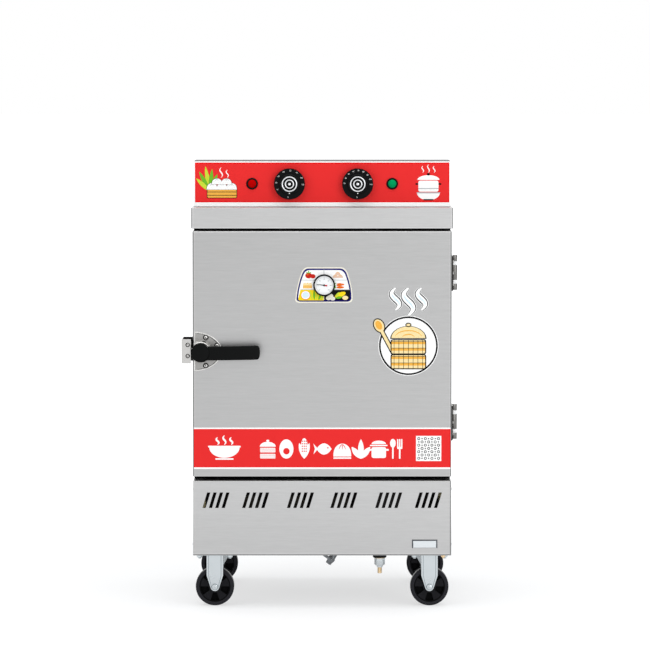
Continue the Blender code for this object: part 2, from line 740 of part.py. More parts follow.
def insulation():
    """Foam round the chamber and the tank: sides, back and top in one piece."""
    bm = bmesh.new()
    add_box(
        bm,
        (-HALF_BODY + SKIN + GAP, BODY_FRONT + 2 * SKIN, TANK_BOTTOM),
        (HALF_BODY - SKIN - GAP, BODY_BACK - 2 * SKIN, ROOF_UNDERSIDE - GAP),
    )
    foam = make("insulation", bm, FOAM, smooth=False)
    room = bmesh.new()
    add_box(
        room,
        (-HALF_CHAMBER - SKIN, BODY_FRONT - OVERRUN, TANK_BOTTOM - OVERRUN),
        (HALF_CHAMBER + SKIN, CHAMBER_BACK + SKIN, CHAMBER_TOP + SKIN),
    )
    cut(foam, room)
    cut(foam, steam_hole())


def rim_level(i):
    """Top of the ledge that carries tray i."""
    return OPENING_BOTTOM + LOWEST_RIM + i * TRAY_PITCH


TRAY_FRONT = CHAMBER_FRONT + TRAY_FRONT_SPACE
TRAY_BACK = TRAY_FRONT + TRAY_DEPTH


def rack(name, side):
    """Ladder rack: two upright bars and an angle rail for each tray."""
    wall = HALF_CHAMBER - GAP
    inner = wall - RACK_THICKNESS
    bottom = OPENING_BOTTOM + RACK_FOOT
    top = CHAMBER_TOP - RACK_FOOT
    bars = bmesh.new()
    for y in (TRAY_FRONT + RACK_BAR, TRAY_BACK - 2 * RACK_BAR):
        add_box(bars, (side * inner, y, bottom), (side * wall, y + RACK_BAR, top))
    ladder = make(name, bars, STEEL)
    rails = bmesh.new()
    lap = RAIL_SHEET / 5
    for i in range(TRAY_COUNT):
        level = rim_level(i) - GAP
        outline = [
            (inner + lap, level), (inner - RAIL_LEDGE, level), (inner - RAIL_LEDGE, level - RAIL_SHEET),
            (inner + lap - RAIL_SHEET, level - RAIL_SHEET), (inner + lap - RAIL_SHEET, level - RAIL_LEG),
            (inner + lap, level - RAIL_LEG),
        ]
        turned = [(side * x, z) for x, z in outline]
        add_prism(rails, turned, "Y", TRAY_FRONT + RAIL_OVERHANG, TRAY_BACK - RAIL_OVERHANG)
    join(ladder, rails)


def tray(name, i):
    """Pressed pan with a flat rim, which rests on a pair of rails and slides in and out."""
    bm = bmesh.new()
    level = rim_level(i) + TRAY_SHEET
    outline = rounded(-TRAY_WIDTH / 2, TRAY_FRONT, TRAY_WIDTH / 2, TRAY_BACK, TRAY_CORNER, 3)
    face = bm.faces.new([bm.verts.new((x, y, level)) for x, y in outline])
    bm.normal_update()
    bmesh.ops.inset_region(
        bm, faces=[face], thickness=TRAY_RIM, use_even_offset=True, use_boundary=True
    )
    moved = bmesh.ops.extrude_face_region(bm, geom=[face])["geom"]
    bmesh.ops.delete(bm, geom=[face], context="FACES_ONLY")
    floor = [v for v in moved if isinstance(v, bmesh.types.BMVert)]
    bmesh.ops.translate(bm, verts=floor, vec=(0, 0, -TRAY_HEIGHT))
    middle = Vector((0, TRAY_FRONT + TRAY_DEPTH / 2, 0))
    shrink_x = 1 - TRAY_DRAFT / (TRAY_WIDTH / 2 - TRAY_RIM)
    shrink_y = 1 - TRAY_DRAFT / (TRAY_DEPTH / 2 - TRAY_RIM)
    bmesh.ops.scale(bm, verts=floor, vec=(shrink_x, shrink_y, 1), space=Matrix.Translation(-middle))
    thicken(make(name, bm, BRIGHT_STEEL), TRAY_SHEET)


def heating_element(name, middle):
    """Tubular heater: a hairpin in the water, a clamping flange and two terminals before the wall."""
    level = TANK_BOTTOM + ELEMENT_HEIGHT
    front = CHAMBER_FRONT - GAP - ELEMENT_FLANGE_THICKNESS - ELEMENT_TERMINAL
    bend = CHAMBER_FRONT + ELEMENT_LENGTH
    bm = bmesh.new()
    turn = arc((middle, bend), ELEMENT_BEND, pi, 0, 6)
    hairpin = [(middle - ELEMENT_BEND, front), *turn, (middle + ELEMENT_BEND, front)]
    add_tube(bm, [Vector((x, y, level)) for x, y in hairpin], ELEMENT_TUBE / 2, 8)
    element = make(name, bm, BRIGHT_STEEL)
    flange = bmesh.new()
    start = (middle, CHAMBER_FRONT - GAP - ELEMENT_FLANGE_THICKNESS, level)
    add_rod(flange, ELEMENT_FLANGE / 2, start, (middle, CHAMBER_FRONT - GAP, level), 16, "+Y")
    join(element, flange)


def spigot_x():
    """Middle of the float box's spigot into the tank."""
    return INLET_X + FLOAT_ARM_LENGTH


FLOAT_FLOOR = GROUND_CLEARANCE + FLOAT_BOX_FLOOR
VALVE_TOP = GROUND_CLEARANCE + RISER_LENGTH
VALVE_PIN_LEVEL = VALVE_TOP + VALVE_HEAD / 2


def float_box():
    """Open box beside the tank that shares its water level, with a bored spigot into the tank."""
    back = INLET_Y + FLOAT_BOX_DEPTH / 2
    right = INLET_X + FLOAT_ARM_LENGTH + FLOAT_BALL_DIAMETER / 2 + FLOAT_BOX_MARGIN
    bm = folded_box(
        (INLET_X - FLOAT_BOX_LEFT, INLET_Y - FLOAT_BOX_DEPTH / 2, FLOAT_FLOOR),
        (right, back, FLOAT_FLOOR + FLOAT_BOX_HEIGHT), ("+Z",),
    )
    round_folds(bm)
    box = make("float_box", bm, STEEL)
    thicken(box, SHEET)
    level = TANK_BOTTOM + SPIGOT_RISE
    spigot = bmesh.new()
    start = (spigot_x(), back - SHEET / 2, level)
    add_rod(spigot, SPIGOT_DIAMETER / 2, start, (spigot_x(), CHAMBER_FRONT + OVERRUN, level), 12, "+Y")
    join(box, spigot)
    bores = bmesh.new()
    start = (spigot_x(), back - OVERRUN, level)
    end = (spigot_x(), CHAMBER_FRONT + 2 * OVERRUN, level)
    add_rod(bores, SPIGOT_BORE / 2, start, end, 12, "+Y")
    start = (INLET_X, INLET_Y, FLOAT_FLOOR - OVERRUN)
    add_bore(bores, RISER_DIAMETER / 2 + GAP, start, (INLET_X, INLET_Y, FLOAT_FLOOR + OVERRUN), 12, "+Z")
    cut(box, bores)


def float_valve():
    """Hose nipple, hexagon body and collar under the base, riser and valve head inside the box."""
    nipple = NIPPLE_DIAMETER / 2
    body = INLET_BODY_DIAMETER / 2
    collar = INLET_COLLAR_DIAMETER / 2
    riser = RISER_DIAMETER / 2
    under = GROUND_CLEARANCE - GAP
    neck = under - INLET_COLLAR_LENGTH - INLET_BODY_LENGTH
    nipple_top = neck - INLET_TAPER
    profile = [(0, nipple_top - NIPPLE_LENGTH), (nipple - NIPPLE_BARB, nipple_top - NIPPLE_LENGTH)]
    barb = NIPPLE_LENGTH / NIPPLE_BARBS
    for i in range(NIPPLE_BARBS):
        level = nipple_top - NIPPLE_LENGTH + i * barb
        profile += [(nipple, level + barb / 2), (nipple - NIPPLE_BARB, level + barb)]
    profile += [
        (nipple + NIPPLE_BARB, nipple_top), (body, neck), (body, neck + INLET_BODY_LENGTH),
        (collar, neck + INLET_BODY_LENGTH), (collar, under), (riser, under),
        (riser, VALVE_TOP), (0, VALVE_TOP),
    ]
    bm = bmesh.new()
    add_lathe(bm, profile, 12, axis_frame("+Z", (INLET_X, INLET_Y, 0)))
    valve = make("float_valve", bm, BRASS)
    head = bmesh.new()
    half = VALVE_HEAD / 2
    add_box(
        head, (INLET_X - half, INLET_Y - half, VALVE_TOP - riser),
        (INLET_X + half, INLET_Y + half, VALVE_TOP + VALVE_HEAD),
    )
    join(valve, head)
    pin = bmesh.new()
    start = (INLET_X, INLET_Y - half + GAP, VALVE_PIN_LEVEL)
    end = (INLET_X, INLET_Y - half - VALVE_PIN_LENGTH, VALVE_PIN_LEVEL)
    add_rod(pin, VALVE_PIN_DIAMETER / 2, start, end, 12, "-Y")
    join(valve, pin)


def float_arm():
    """Arm with an eye on the valve's pin and a hollow steel ball at its end."""
    eye_y = INLET_Y - VALVE_HEAD / 2 - GAP
    eye = VALVE_PIN_DIAMETER / 2 + GAP
    bm = bmesh.new()
    add_lathe(
        bm,
        [
            (eye, 0), (eye + FLOAT_EYE_WALL, 0), (eye + FLOAT_EYE_WALL, FLOAT_ARM_ROD), (eye, FLOAT_ARM_ROD),
        ],
        16, axis_frame("-Y", (INLET_X, eye_y, VALVE_PIN_LEVEL)), closed=True,
    )
    pivot = (INLET_X, eye_y, VALVE_PIN_LEVEL)
    arm = make("float_arm", bm, BRIGHT_STEEL, at=pivot)
    rod = bmesh.new()
    half = FLOAT_ARM_ROD / 2
    add_box(
        rod,
        (INLET_X + eye + FLOAT_EYE_WALL / 2, eye_y - FLOAT_ARM_ROD + GAP, VALVE_PIN_LEVEL - half + GAP),
        (INLET_X + FLOAT_ARM_LENGTH, eye_y - GAP, VALVE_PIN_LEVEL + half - GAP),
    )
    join(arm, rod)
    ball = bmesh.new()
    centre = (INLET_X + FLOAT_ARM_LENGTH, INLET_Y, VALVE_PIN_LEVEL)
    radius = FLOAT_BALL_DIAMETER / 2
    add_lathe(ball, arc((0, 0), radius, -pi / 2, pi / 2, 6), 12, axis_frame("+Z", centre))
    join(arm, ball)


def drain_points():
    """Elbow, stem and outlet end of the leaning drain pipe."""
    elbow = Vector((DRAIN_X, DRAIN_Y, GROUND_CLEARANCE - DRAIN_ELBOW_DROP))
    along = Vector((cos(DRAIN_OUTLET_ANGLE), 0, sin(DRAIN_OUTLET_ANGLE)))
    stem = elbow + along * DRAIN_OUTLET_LENGTH * DRAIN_BALL_SHARE
    return elbow, along, stem


def drain_valve():
    """Drain pipe from the tank through the base, with a ball valve on its leaning outlet."""
    elbow, along, stem = drain_points()
    pipe = DRAIN_PIPE_DIAMETER / 2
    nut = DRAIN_NUT_DIAMETER / 2
    under = GROUND_CLEARANCE - GAP
    bm = bmesh.new()
    profile = [
        (0, elbow.z), (pipe, elbow.z), (pipe, under - DRAIN_NUT_LENGTH), (nut, under - DRAIN_NUT_LENGTH),
        (nut, under), (pipe, under), (pipe, TANK_BOTTOM - GAP), (0, TANK_BOTTOM - GAP),
    ]
    add_lathe(bm, profile, 12, axis_frame("+Z", (DRAIN_X, DRAIN_Y, 0)))
    valve = make("drain_valve", bm, BRIGHT_STEEL)
    outlet = bmesh.new()
    lean = Matrix.Translation(elbow) @ Matrix.Rotation(
        pi / 2 - DRAIN_OUTLET_ANGLE, 4, "Y"
    )
    radius = DRAIN_OUTLET_DIAMETER / 2
    ball = DRAIN_BALL_DIAMETER / 2
    middle = DRAIN_OUTLET_LENGTH * DRAIN_BALL_SHARE
    start = atan2(radius, ball)
    bulge = [(ball * cos(a), middle + ball * sin(a)) for a in (-start, -start / 2, 0, start / 2, start)]
    profile = [(0, -radius / 2), (radius, -radius / 2), *bulge]
    profile += [(radius, DRAIN_OUTLET_LENGTH), (0, DRAIN_OUTLET_LENGTH)]
    add_lathe(outlet, profile, 12, lean)
    join(valve, outlet)
    post = bmesh.new()
    tip = stem - Vector((0, ball + DRAIN_STEM_LENGTH, 0))
    add_rod(post, DRAIN_STEM_DIAMETER / 2, stem, tip, 12, "-Y")
    join(valve, post)


def drain_lever():
    """Flat lever on the drain valve's stem, square to the pipe when the valve is shut."""
    _, _, stem = drain_points()
    plane = stem.y - DRAIN_BALL_DIAMETER / 2 - GAP
    pivot = (stem.x, plane, stem.z)
    hole = DRAIN_STEM_DIAMETER / 2 + GAP
    bm = bmesh.new()
    add_lathe(
        bm,
        [
            (hole, 0), (DRAIN_LEVER_EYE / 2, 0), (DRAIN_LEVER_EYE / 2, DRAIN_LEVER_THICKNESS),
            (hole, DRAIN_LEVER_THICKNESS),
        ],
        16, axis_frame("-Y", pivot), closed=True,
    )
    lever = make("drain_lever", bm, ZINC, at=pivot)
    blade = bmesh.new()
    half = DRAIN_LEVER_WIDTH / 2
    inner = (hole + DRAIN_LEVER_EYE / 2) / 2
    straight = [(inner, -half), (DRAIN_LEVER_LENGTH - half, -half)]
    tip = arc((DRAIN_LEVER_LENGTH - half, 0), half, -pi / 2, pi / 2, 6)
    outline = straight[:1] + tip + [(inner, half)]
    shut = DRAIN_OUTLET_ANGLE - pi / 2
    turned = [
        (stem.x + p * cos(shut) - q * sin(shut), stem.z + p * sin(shut) + q * cos(shut)) for p, q in outline
    ]
    inset = DRAIN_LEVER_THICKNESS / 10
    add_prism(blade, turned, "Y", plane - inset, plane - DRAIN_LEVER_THICKNESS + inset)
    join(lever, blade)


def earth_bolt():
    """Brass earthing bolt with its nut under the base."""
    under = GROUND_CLEARANCE - GAP
    nut = EARTH_NUT_DIAMETER / 2
    stud = EARTH_STUD_DIAMETER / 2
    profile = [
        (0, under - EARTH_NUT_LENGTH - EARTH_STUD_LENGTH),
        (stud, under - EARTH_NUT_LENGTH - EARTH_STUD_LENGTH),
        (stud, under - EARTH_NUT_LENGTH), (nut, under - EARTH_NUT_LENGTH), (nut, under), (0, under),
    ]
    bm = bmesh.new()
    add_lathe(bm, profile, 6, axis_frame("+Z", (EARTH_X, EARTH_Y, 0)))
    make("earth_bolt", bm, BRASS, smooth=False)


def control_housing():
    """Folded box on the roof that holds the controls, open at the bottom over the cap."""
    bm = folded_box(
        (-CONTROL_WIDTH / 2, CONTROL_SETBACK, CAP_TOP + GAP),
        (CONTROL_WIDTH / 2, CONTROL_SETBACK + CONTROL_DEPTH, CONTROL_TOP), ("-Z",),
    )
    round_folds(bm)
    housing = make("control_housing", bm, STEEL)
    thicken(housing, SHEET)
    holes = bmesh.new()
    for x, diameter in (
        (TIMER_X, BUSH_DIAMETER), (THERMOSTAT_X, BUSH_DIAMETER),
        (-LAMP_X, LAMP_BARREL_DIAMETER), (LAMP_X, LAMP_BARREL_DIAMETER),
    ):
        start = (x, CONTROL_SETBACK - OVERRUN, CONTROL_MIDDLE)
        end = (x, CONTROL_SETBACK + OVERRUN, CONTROL_MIDDLE)
        add_bore(holes, diameter / 2 + GAP, start, end, 12, "+Y")
    back = CONTROL_SETBACK + CONTROL_DEPTH
    start = (GLAND_X, back - OVERRUN, CONTROL_MIDDLE)
    end = (GLAND_X, back + OVERRUN, CONTROL_MIDDLE)
    add_bore(holes, GLAND_THREAD_DIAMETER / 2 + GAP, start, end, 12, "+Y")
    cut(housing, holes)


def control(name, x):
    """Scale plate before the panel, bush through it, works behind it and the shaft for the knob."""
    front = CONTROL_SETBACK - GAP
    inside = CONTROL_SETBACK + SKIN
    dial = DIAL_DIAMETER / 2
    bush = BUSH_DIAMETER / 2
    shaft = SHAFT_DIAMETER / 2
    profile = [
        (0, front - DIAL_THICKNESS - SHAFT_LENGTH), (shaft, front - DIAL_THICKNESS - SHAFT_LENGTH),
        (shaft, front - DIAL_THICKNESS), (dial - DIAL_EDGE, front - DIAL_THICKNESS),
        (dial, front - DIAL_THICKNESS + DIAL_EDGE), (dial, front), (bush, front),
        (bush, inside + WORKS_DEPTH / 2), (0, inside + WORKS_DEPTH / 2),
    ]
    bm = bmesh.new()
    add_lathe(bm, profile, 24, axis_frame("+Y", (x, 0, CONTROL_MIDDLE)))
    piece = make(name, bm, BLACK_PLASTIC)
    works = bmesh.new()
    outline = rounded(
        x - WORKS_WIDTH / 2, CONTROL_MIDDLE - WORKS_HEIGHT / 2, x + WORKS_WIDTH / 2,
        CONTROL_MIDDLE + WORKS_HEIGHT / 2, KNOB_WALL, 2,
    )
    add_prism(works, outline, "Y", inside, inside + WORKS_DEPTH)
    join(piece, works)


def knob(name, x):
    """Round knob on a control's shaft: hollow behind, with a hub round the shaft."""
    back = CONTROL_SETBACK - GAP - DIAL_THICKNESS - GAP
    radius = KNOB_DIAMETER / 2
    hub = KNOB_HUB_DIAMETER / 2
    bore = SHAFT_DIAMETER / 2 + GAP
    roof = back - SHAFT_LENGTH - GAP
    hollow = back - KNOB_HEIGHT / 2
    face = back - KNOB_HEIGHT
    ring = radius * KNOB_FACE_SHARE
    profile = [
        (0, roof), (bore, roof), (bore, back), (hub, back), (hub, hollow), (radius - KNOB_WALL, hollow),
        (radius - KNOB_WALL, back), (radius, back), (radius - KNOB_BEVEL / 5, face + KNOB_BEVEL),
        (radius - KNOB_BEVEL, face), (ring, face),
        (ring, face + KNOB_FACE_RECESS), (0, face + KNOB_FACE_RECESS),
    ]
    bm = bmesh.new()
    add_lathe(bm, profile, 24, axis_frame("+Y", (x, 0, CONTROL_MIDDLE)))
    make(name, bm, BLACK_PLASTIC, at=(x, back, CONTROL_MIDDLE))


def lamp(name, x, finish):
    """Pilot lamp: bezel and domed lens before the panel, barrel through it."""
    front = CONTROL_SETBACK - GAP
    bezel = LAMP_DIAMETER / 2
    lens = LAMP_LENS_DIAMETER / 2
    barrel = LAMP_BARREL_DIAMETER / 2
    face = front - LAMP_BEZEL
    dome = [(lens * cos(a), face - LAMP_DOME * sin(a)) for a in (0, pi / 6, pi / 3)]
    profile = [
        (0, face - LAMP_DOME), *reversed(dome), (bezel - DIAL_EDGE, face),
        (bezel, face + DIAL_EDGE), (bezel, front), (barrel, front),
        (barrel, front + LAMP_BARREL_LENGTH), (0, front + LAMP_BARREL_LENGTH),
    ]
    bm = bmesh.new()
    add_lathe(bm, profile, 16, axis_frame("+Y", (x, 0, CONTROL_MIDDLE)))
    make(name, bm, finish)


def cable_gland():
    """Gland for the supply cord at the back of the control housing: nut, dome and open throat."""
    back = CONTROL_SETBACK + CONTROL_DEPTH + GAP
    thread = GLAND_THREAD_DIAMETER / 2
    nut = GLAND_NUT_DIAMETER / 2
    throat = GLAND_THROAT_DIAMETER / 2
    end = back + GLAND_NUT_LENGTH + GLAND_DOME_LENGTH
    profile = [
        (throat, back - GLAND_THREAD_LENGTH), (thread, back - GLAND_THREAD_LENGTH), (thread, back),
        (nut, back), (nut, back + GLAND_NUT_LENGTH), (thread, back + GLAND_NUT_LENGTH),
        (thread - DIAL_EDGE, end - GLAND_DOME_LENGTH / 3), (throat + DIAL_THICKNESS, end), (throat, end),
    ]
    bm = bmesh.new()
    add_lathe(bm, profile, 12, axis_frame("+Y", (GLAND_X, 0, CONTROL_MIDDLE)), closed=True)
    make("cable_gland", bm, BLACK_PLASTIC)


def steam_outlet():
    """Open pipe from the chamber through the back wall, with a flange on the back panel."""
    outer = STEAM_DIAMETER / 2
    inner = outer - STEAM_WALL
    flange = STEAM_FLANGE_DIAMETER / 2
    back = BODY_BACK + GAP
    profile = [
        (inner, CHAMBER_BACK - GAP), (outer, CHAMBER_BACK - GAP), (outer, back), (flange, back),
        (flange, back + STEAM_FLANGE_THICKNESS), (outer, back + STEAM_FLANGE_THICKNESS),
        (outer, BODY_BACK + STEAM_STUB), (inner, BODY_BACK + STEAM_STUB),
    ]
    bm = bmesh.new()
    add_lathe(bm, profile, 20, axis_frame("+Y", (STEAM_X, 0, CHAMBER_TOP - STEAM_DROP)), closed=True)
    make("steam_outlet", bm, BRIGHT_STEEL)


THERMOMETER_Z = DOOR_TOP - THERMOMETER_DROP


def stem_hole():
    """Cutter for the thermometer's stem through the door."""
    bm = bmesh.new()
    start = (THERMOMETER_X, -OVERRUN, THERMOMETER_Z)
    end = (THERMOMETER_X, DOOR_THICKNESS + OVERRUN, THERMOMETER_Z)
    add_bore(bm, THERMOMETER_STEM_DIAMETER / 2 + GAP, start, end, 12, "+Y")
    return bm


def door():
    """Outer pan, inner pan set into it, foam between them and the gasket; returns the outer pan."""
    half = DOOR_WIDTH / 2
    pivot = (HINGE_PIN_X, HINGE_PIN_DEPTH, DOOR_BOTTOM)
    outer = make(
        "door_outer", rounded_pan((-half, 0, DOOR_BOTTOM), (half, DOOR_THICKNESS, DOOR_TOP), "+Y"),
        STEEL, at=pivot,
    )
    thicken(outer, SHEET)
    cut(outer, stem_hole())
    inner = make(
        "door_inner",
        rounded_pan(
            (-half + SKIN, DOOR_THICKNESS - PANEL_FLANGE, DOOR_BOTTOM + SKIN),
            (half - SKIN, DOOR_THICKNESS, DOOR_TOP - SKIN), "-Y",
        ),
        STEEL, parent=outer,
    )
    thicken(inner, SHEET)
    cut(inner, stem_hole())
    foam = bmesh.new()
    inset = 2 * SKIN + FOLD_RADIUS / 2
    low = (-half + inset, SKIN, DOOR_BOTTOM + inset)
    high = (half - inset, DOOR_THICKNESS - SKIN, DOOR_TOP - inset)
    add_box(foam, low, high)
    foam_block = make("door_insulation", foam, FOAM, parent=outer, smooth=False)
    cut(foam_block, stem_hole())
    return outer


def rounded_pan(low, high, open_side):
    """A folded pan open on one side."""
    bm = folded_box(low, high, (open_side,))
    round_folds(bm)
    return bm


def door_gasket(parent):
    """Silicone ring between the door and the front frame."""
    left = OPENING_WIDTH / 2 + GASKET_INSET - GASKET_WIDTH / 2
    bottom = OPENING_BOTTOM - GASKET_INSET + GASKET_WIDTH / 2
    top = OPENING_TOP + GASKET_INSET - GASKET_WIDTH / 2
    inner = rounded(-left, bottom, left, top, GASKET_CORNER, 3)
    grow = GASKET_WIDTH
    outer = rounded(-left - grow, bottom - grow, left + grow, top + grow, GASKET_CORNER + grow, 3)
    bm = flat_ring(outer, inner, DOOR_THICKNESS + GAP)
    gasket = make("door_gasket", bm, SILICONE, parent=parent)
    thicken(gasket, BODY_FRONT - GAP - DOOR_THICKNESS - GAP)


def hinge(place, level, door_piece):
    """Lift hinge: end knuckles and pin on the body's leaf, barrel and washers on the door's leaf."""
    half = HINGE_HEIGHT / 2
    barrel = HINGE_BARREL / 2
    pin_axis = axis_frame("+Z", (HINGE_PIN_X, HINGE_PIN_DEPTH, level))
    radius = HINGE_BARREL_DIAMETER / 2
    plate_x = HALF_BODY + GAP
    plate_front = HINGE_PIN_DEPTH + radius + 4 * GAP
    bm = bmesh.new()
    outline = rounded(
        plate_front, level - half, plate_front + HINGE_LEAF_REACH, level + half, HINGE_LEAF_CORNER, 2
    )
    add_prism(bm, outline, "X", plate_x, plate_x + HINGE_LEAF_THICKNESS)
    frame_leaf = make(f"hinge_{place}_body_leaf", bm, BRIGHT_STEEL)
    arms = bmesh.new()
    for side in (-1, 1):
        ends = (side * (half - HINGE_LEAF_CORNER), side * (half - HINGE_END_KNUCKLE))
        arm_low = (plate_x + GAP / 2, HINGE_PIN_DEPTH, level + min(ends))
        arm_right = plate_x + HINGE_LEAF_THICKNESS - GAP / 2
        arm_high = (arm_right, plate_front + HINGE_LEAF_CORNER, level + max(ends))
        add_box(arms, arm_low, arm_high)
    join(frame_leaf, arms)
    knuckles = bmesh.new()
    pin = HINGE_PIN_DIAMETER / 2
    inner = half - HINGE_END_KNUCKLE
    profile = [
        (0, -half), (radius, -half), (radius, -inner), (pin, -inner), (pin, inner), (radius, inner),
        (radius, half), (0, half),
    ]
    add_lathe(knuckles, profile, 16, pin_axis)
    join(frame_leaf, knuckles)

    bm = bmesh.new()
    bore = pin + GAP
    washer = HINGE_WASHER_DIAMETER / 2
    reach = inner - GAP
    profile = [
        (bore, -reach), (washer, -reach), (washer, -barrel), (radius, -barrel), (radius, barrel),
        (washer, barrel), (washer, reach), (bore, reach),
    ]
    add_lathe(bm, profile, 16, pin_axis, closed=True)
    door_leaf = make(f"hinge_{place}_door_leaf", bm, BRIGHT_STEEL, parent=door_piece)
    plates = bmesh.new()
    side_x = DOOR_WIDTH / 2 + GAP
    clear = HINGE_PIN_DEPTH - radius - 4 * GAP
    front = clear - HINGE_LEAF_REACH * 3 / 4
    outline = [
        (front, level - half), (clear, level - half), (clear, level - barrel + GAP),
        (HINGE_PIN_DEPTH, level - barrel + GAP), (HINGE_PIN_DEPTH, level + barrel - GAP),
        (clear, level + barrel - GAP), (clear, level + half), (front, level + half),
    ]
    add_prism(plates, outline, "X", side_x, side_x + HINGE_LEAF_THICKNESS)
    join(door_leaf, plates)


LATCH_FACE = -GAP - LATCH_PLATE_THICKNESS
BOSS_FACE = LATCH_FACE - LATCH_BOSS_HEIGHT
TONGUE_BACK = BOSS_FACE - GAP
TONGUE_FACE = TONGUE_BACK - TONGUE_THICKNESS
CAP_BACK = TONGUE_FACE - GAP


def latch_plate(door_piece):
    """Cast half-oval base plate on the door with the boss that the spindle turns in."""
    left = -DOOR_WIDTH / 2 + LATCH_PLATE_EDGE
    half = LATCH_PLATE_HEIGHT / 2
    curve = [
        (left + LATCH_PLATE_WIDTH * cos(a), LATCH_Z + half * sin(a))
        for a in (-pi / 2 + pi * i / 16 for i in range(17))
    ]
    bm = bmesh.new()
    add_prism(bm, curve, "Y", -GAP, LATCH_FACE)
    plate = make("latch_plate", bm, BRIGHT_STEEL, parent=door_piece)
    boss = bmesh.new()
    radius = LATCH_BOSS_DIAMETER / 2
    profile = [
        (0, LATCH_FACE + LATCH_PLATE_THICKNESS / 2), (radius, LATCH_FACE + LATCH_PLATE_THICKNESS / 2),
        (radius, LATCH_FACE), (radius - LATCH_BOSS_TAPER, BOSS_FACE), (0, BOSS_FACE),
    ]
    add_lathe(boss, profile, 20, axis_frame("+Y", (LATCH_X, 0, LATCH_Z)))
    edge = bmesh.new()
    add_box(
        edge, (left - LATCH_BOSS_DIAMETER, BOSS_FACE - OVERRUN, LATCH_Z - LATCH_PLATE_HEIGHT),
        (left, OVERRUN, LATCH_Z + LATCH_PLATE_HEIGHT),
    )
    join(plate, boss)
    bore = bmesh.new()
    add_bore(
        bore, LATCH_SPINDLE_DIAMETER / 2 + GAP, (LATCH_X, OVERRUN, LATCH_Z),
        (LATCH_X, BOSS_FACE - OVERRUN, LATCH_Z), 16, "-Y",
    )
    cut(plate, bore)
    cut(plate, edge)


def latch_lever(door_piece):
    """Black lever: round cap, bowed grip that widens into it, and the spindle behind."""
    pivot = (LATCH_X, CAP_BACK, LATCH_Z)
    cap = LEVER_CAP_DIAMETER / 2
    spindle = LATCH_SPINDLE_DIAMETER / 2
    front = CAP_BACK - LEVER_CAP_HEIGHT
    profile = [
        (0, LATCH_FACE - GAP), (spindle, LATCH_FACE - GAP), (spindle, CAP_BACK), (cap, CAP_BACK),
        (cap, front + LEVER_CAP_BEVEL), (cap - LEVER_CAP_BEVEL / 3, front + LEVER_CAP_BEVEL / 3),
        (cap - LEVER_CAP_BEVEL, front), (0, front),
    ]
    bm = bmesh.new()
    add_lathe(bm, profile, 24, axis_frame("+Y", (LATCH_X, 0, LATCH_Z)))
    lever = make("latch_lever", bm, BLACK_PLASTIC, at=pivot, parent=door_piece)
    grip = bmesh.new()
    stations = 6
    loops = []
    start = cap / 2
    for i in range(stations + 1):
        share = i / stations
        x = LATCH_X + start + (LEVER_REACH - start) * share
        height = LEVER_ROOT_HEIGHT + (LEVER_TIP_HEIGHT - LEVER_ROOT_HEIGHT) * share
        thickness = LEVER_ROOT_THICKNESS + (LEVER_TIP_THICKNESS - LEVER_ROOT_THICKNESS) * share
        corner = LEVER_CORNER
        if i == stations:
            height -= LEVER_TIP_ROUND
            thickness -= LEVER_TIP_ROUND / 2
        if i == stations - 1:
            x += (LEVER_REACH - start) / stations - LEVER_TIP_ROUND
        middle_z = LATCH_Z + LEVER_RISE * share
        face = front + LEVER_CAP_BEVEL + LEVER_BOW * (2 * share - 1) ** 2 - LEVER_BOW
        back = face + thickness
        if i == stations:
            face += LEVER_TIP_ROUND / 4
            back = face + thickness
            corner = LEVER_CORNER / 2
        outline = rounded(face, middle_z - height / 2, back, middle_z + height / 2, corner, 1)
        loops.append([grip.verts.new((x, y, z)) for y, z in outline])
    for near, far in zip(loops, loops[1:]):
        count = len(near)
        for k in range(count):
            grip.faces.new((near[k], near[(k + 1) % count], far[(k + 1) % count], far[k]))
    grip.faces.new(loops[0])
    grip.faces.new(loops[-1])
    bmesh.ops.recalc_face_normals(grip, faces=grip.faces)
    join(lever, grip)
    return lever


def latch_tongue(lever):
    """Steel tongue on the spindle, whose arm points at the keeper while the door is shut."""
    hub = TONGUE_HUB_DIAMETER / 2
    bore = LATCH_SPINDLE_DIAMETER / 2 + GAP
    bm = bmesh.new()
    profile = [(bore, TONGUE_FACE), (hub, TONGUE_FACE), (hub, TONGUE_BACK), (bore, TONGUE_BACK)]
    add_lathe(bm, profile, 20, axis_frame("+Y", (LATCH_X, 0, LATCH_Z)), closed=True)
    tongue = make("latch_tongue", bm, BRIGHT_STEEL, parent=lever)
    arm = bmesh.new()
    add_box(
        arm, (KEEPER_RIGHT + KEEPER_GAP, TONGUE_FACE + GAP, LATCH_Z - TONGUE_WIDTH / 2),
        (LATCH_X - hub / 2, TONGUE_BACK - GAP, LATCH_Z + TONGUE_WIDTH / 2),
    )
    join(tongue, arm)


def latch_keeper():
    """Bent bracket on the body's left side; its hooked front face stands beside the latch."""
    skin = -HALF_BODY - GAP
    plate = KEEPER_PLATE
    root = BODY_FRONT + SKIN
    outline = [
        (skin, root + KEEPER_LEG), (skin - plate, root + KEEPER_LEG), (skin - plate, root + plate),
        (KEEPER_LEFT, root + plate), (KEEPER_LEFT, -KEEPER_PROUD), (KEEPER_RIGHT, -KEEPER_PROUD),
        (KEEPER_RIGHT, -KEEPER_PROUD + plate), (KEEPER_LEFT + plate, -KEEPER_PROUD + plate),
        (KEEPER_LEFT + plate, root), (skin, root),
    ]
    bm = bmesh.new()
    add_prism(bm, outline, "Z", LATCH_Z - KEEPER_HEIGHT / 2, LATCH_Z + KEEPER_HEIGHT / 2)
    make("latch_keeper", bm, BRIGHT_STEEL)


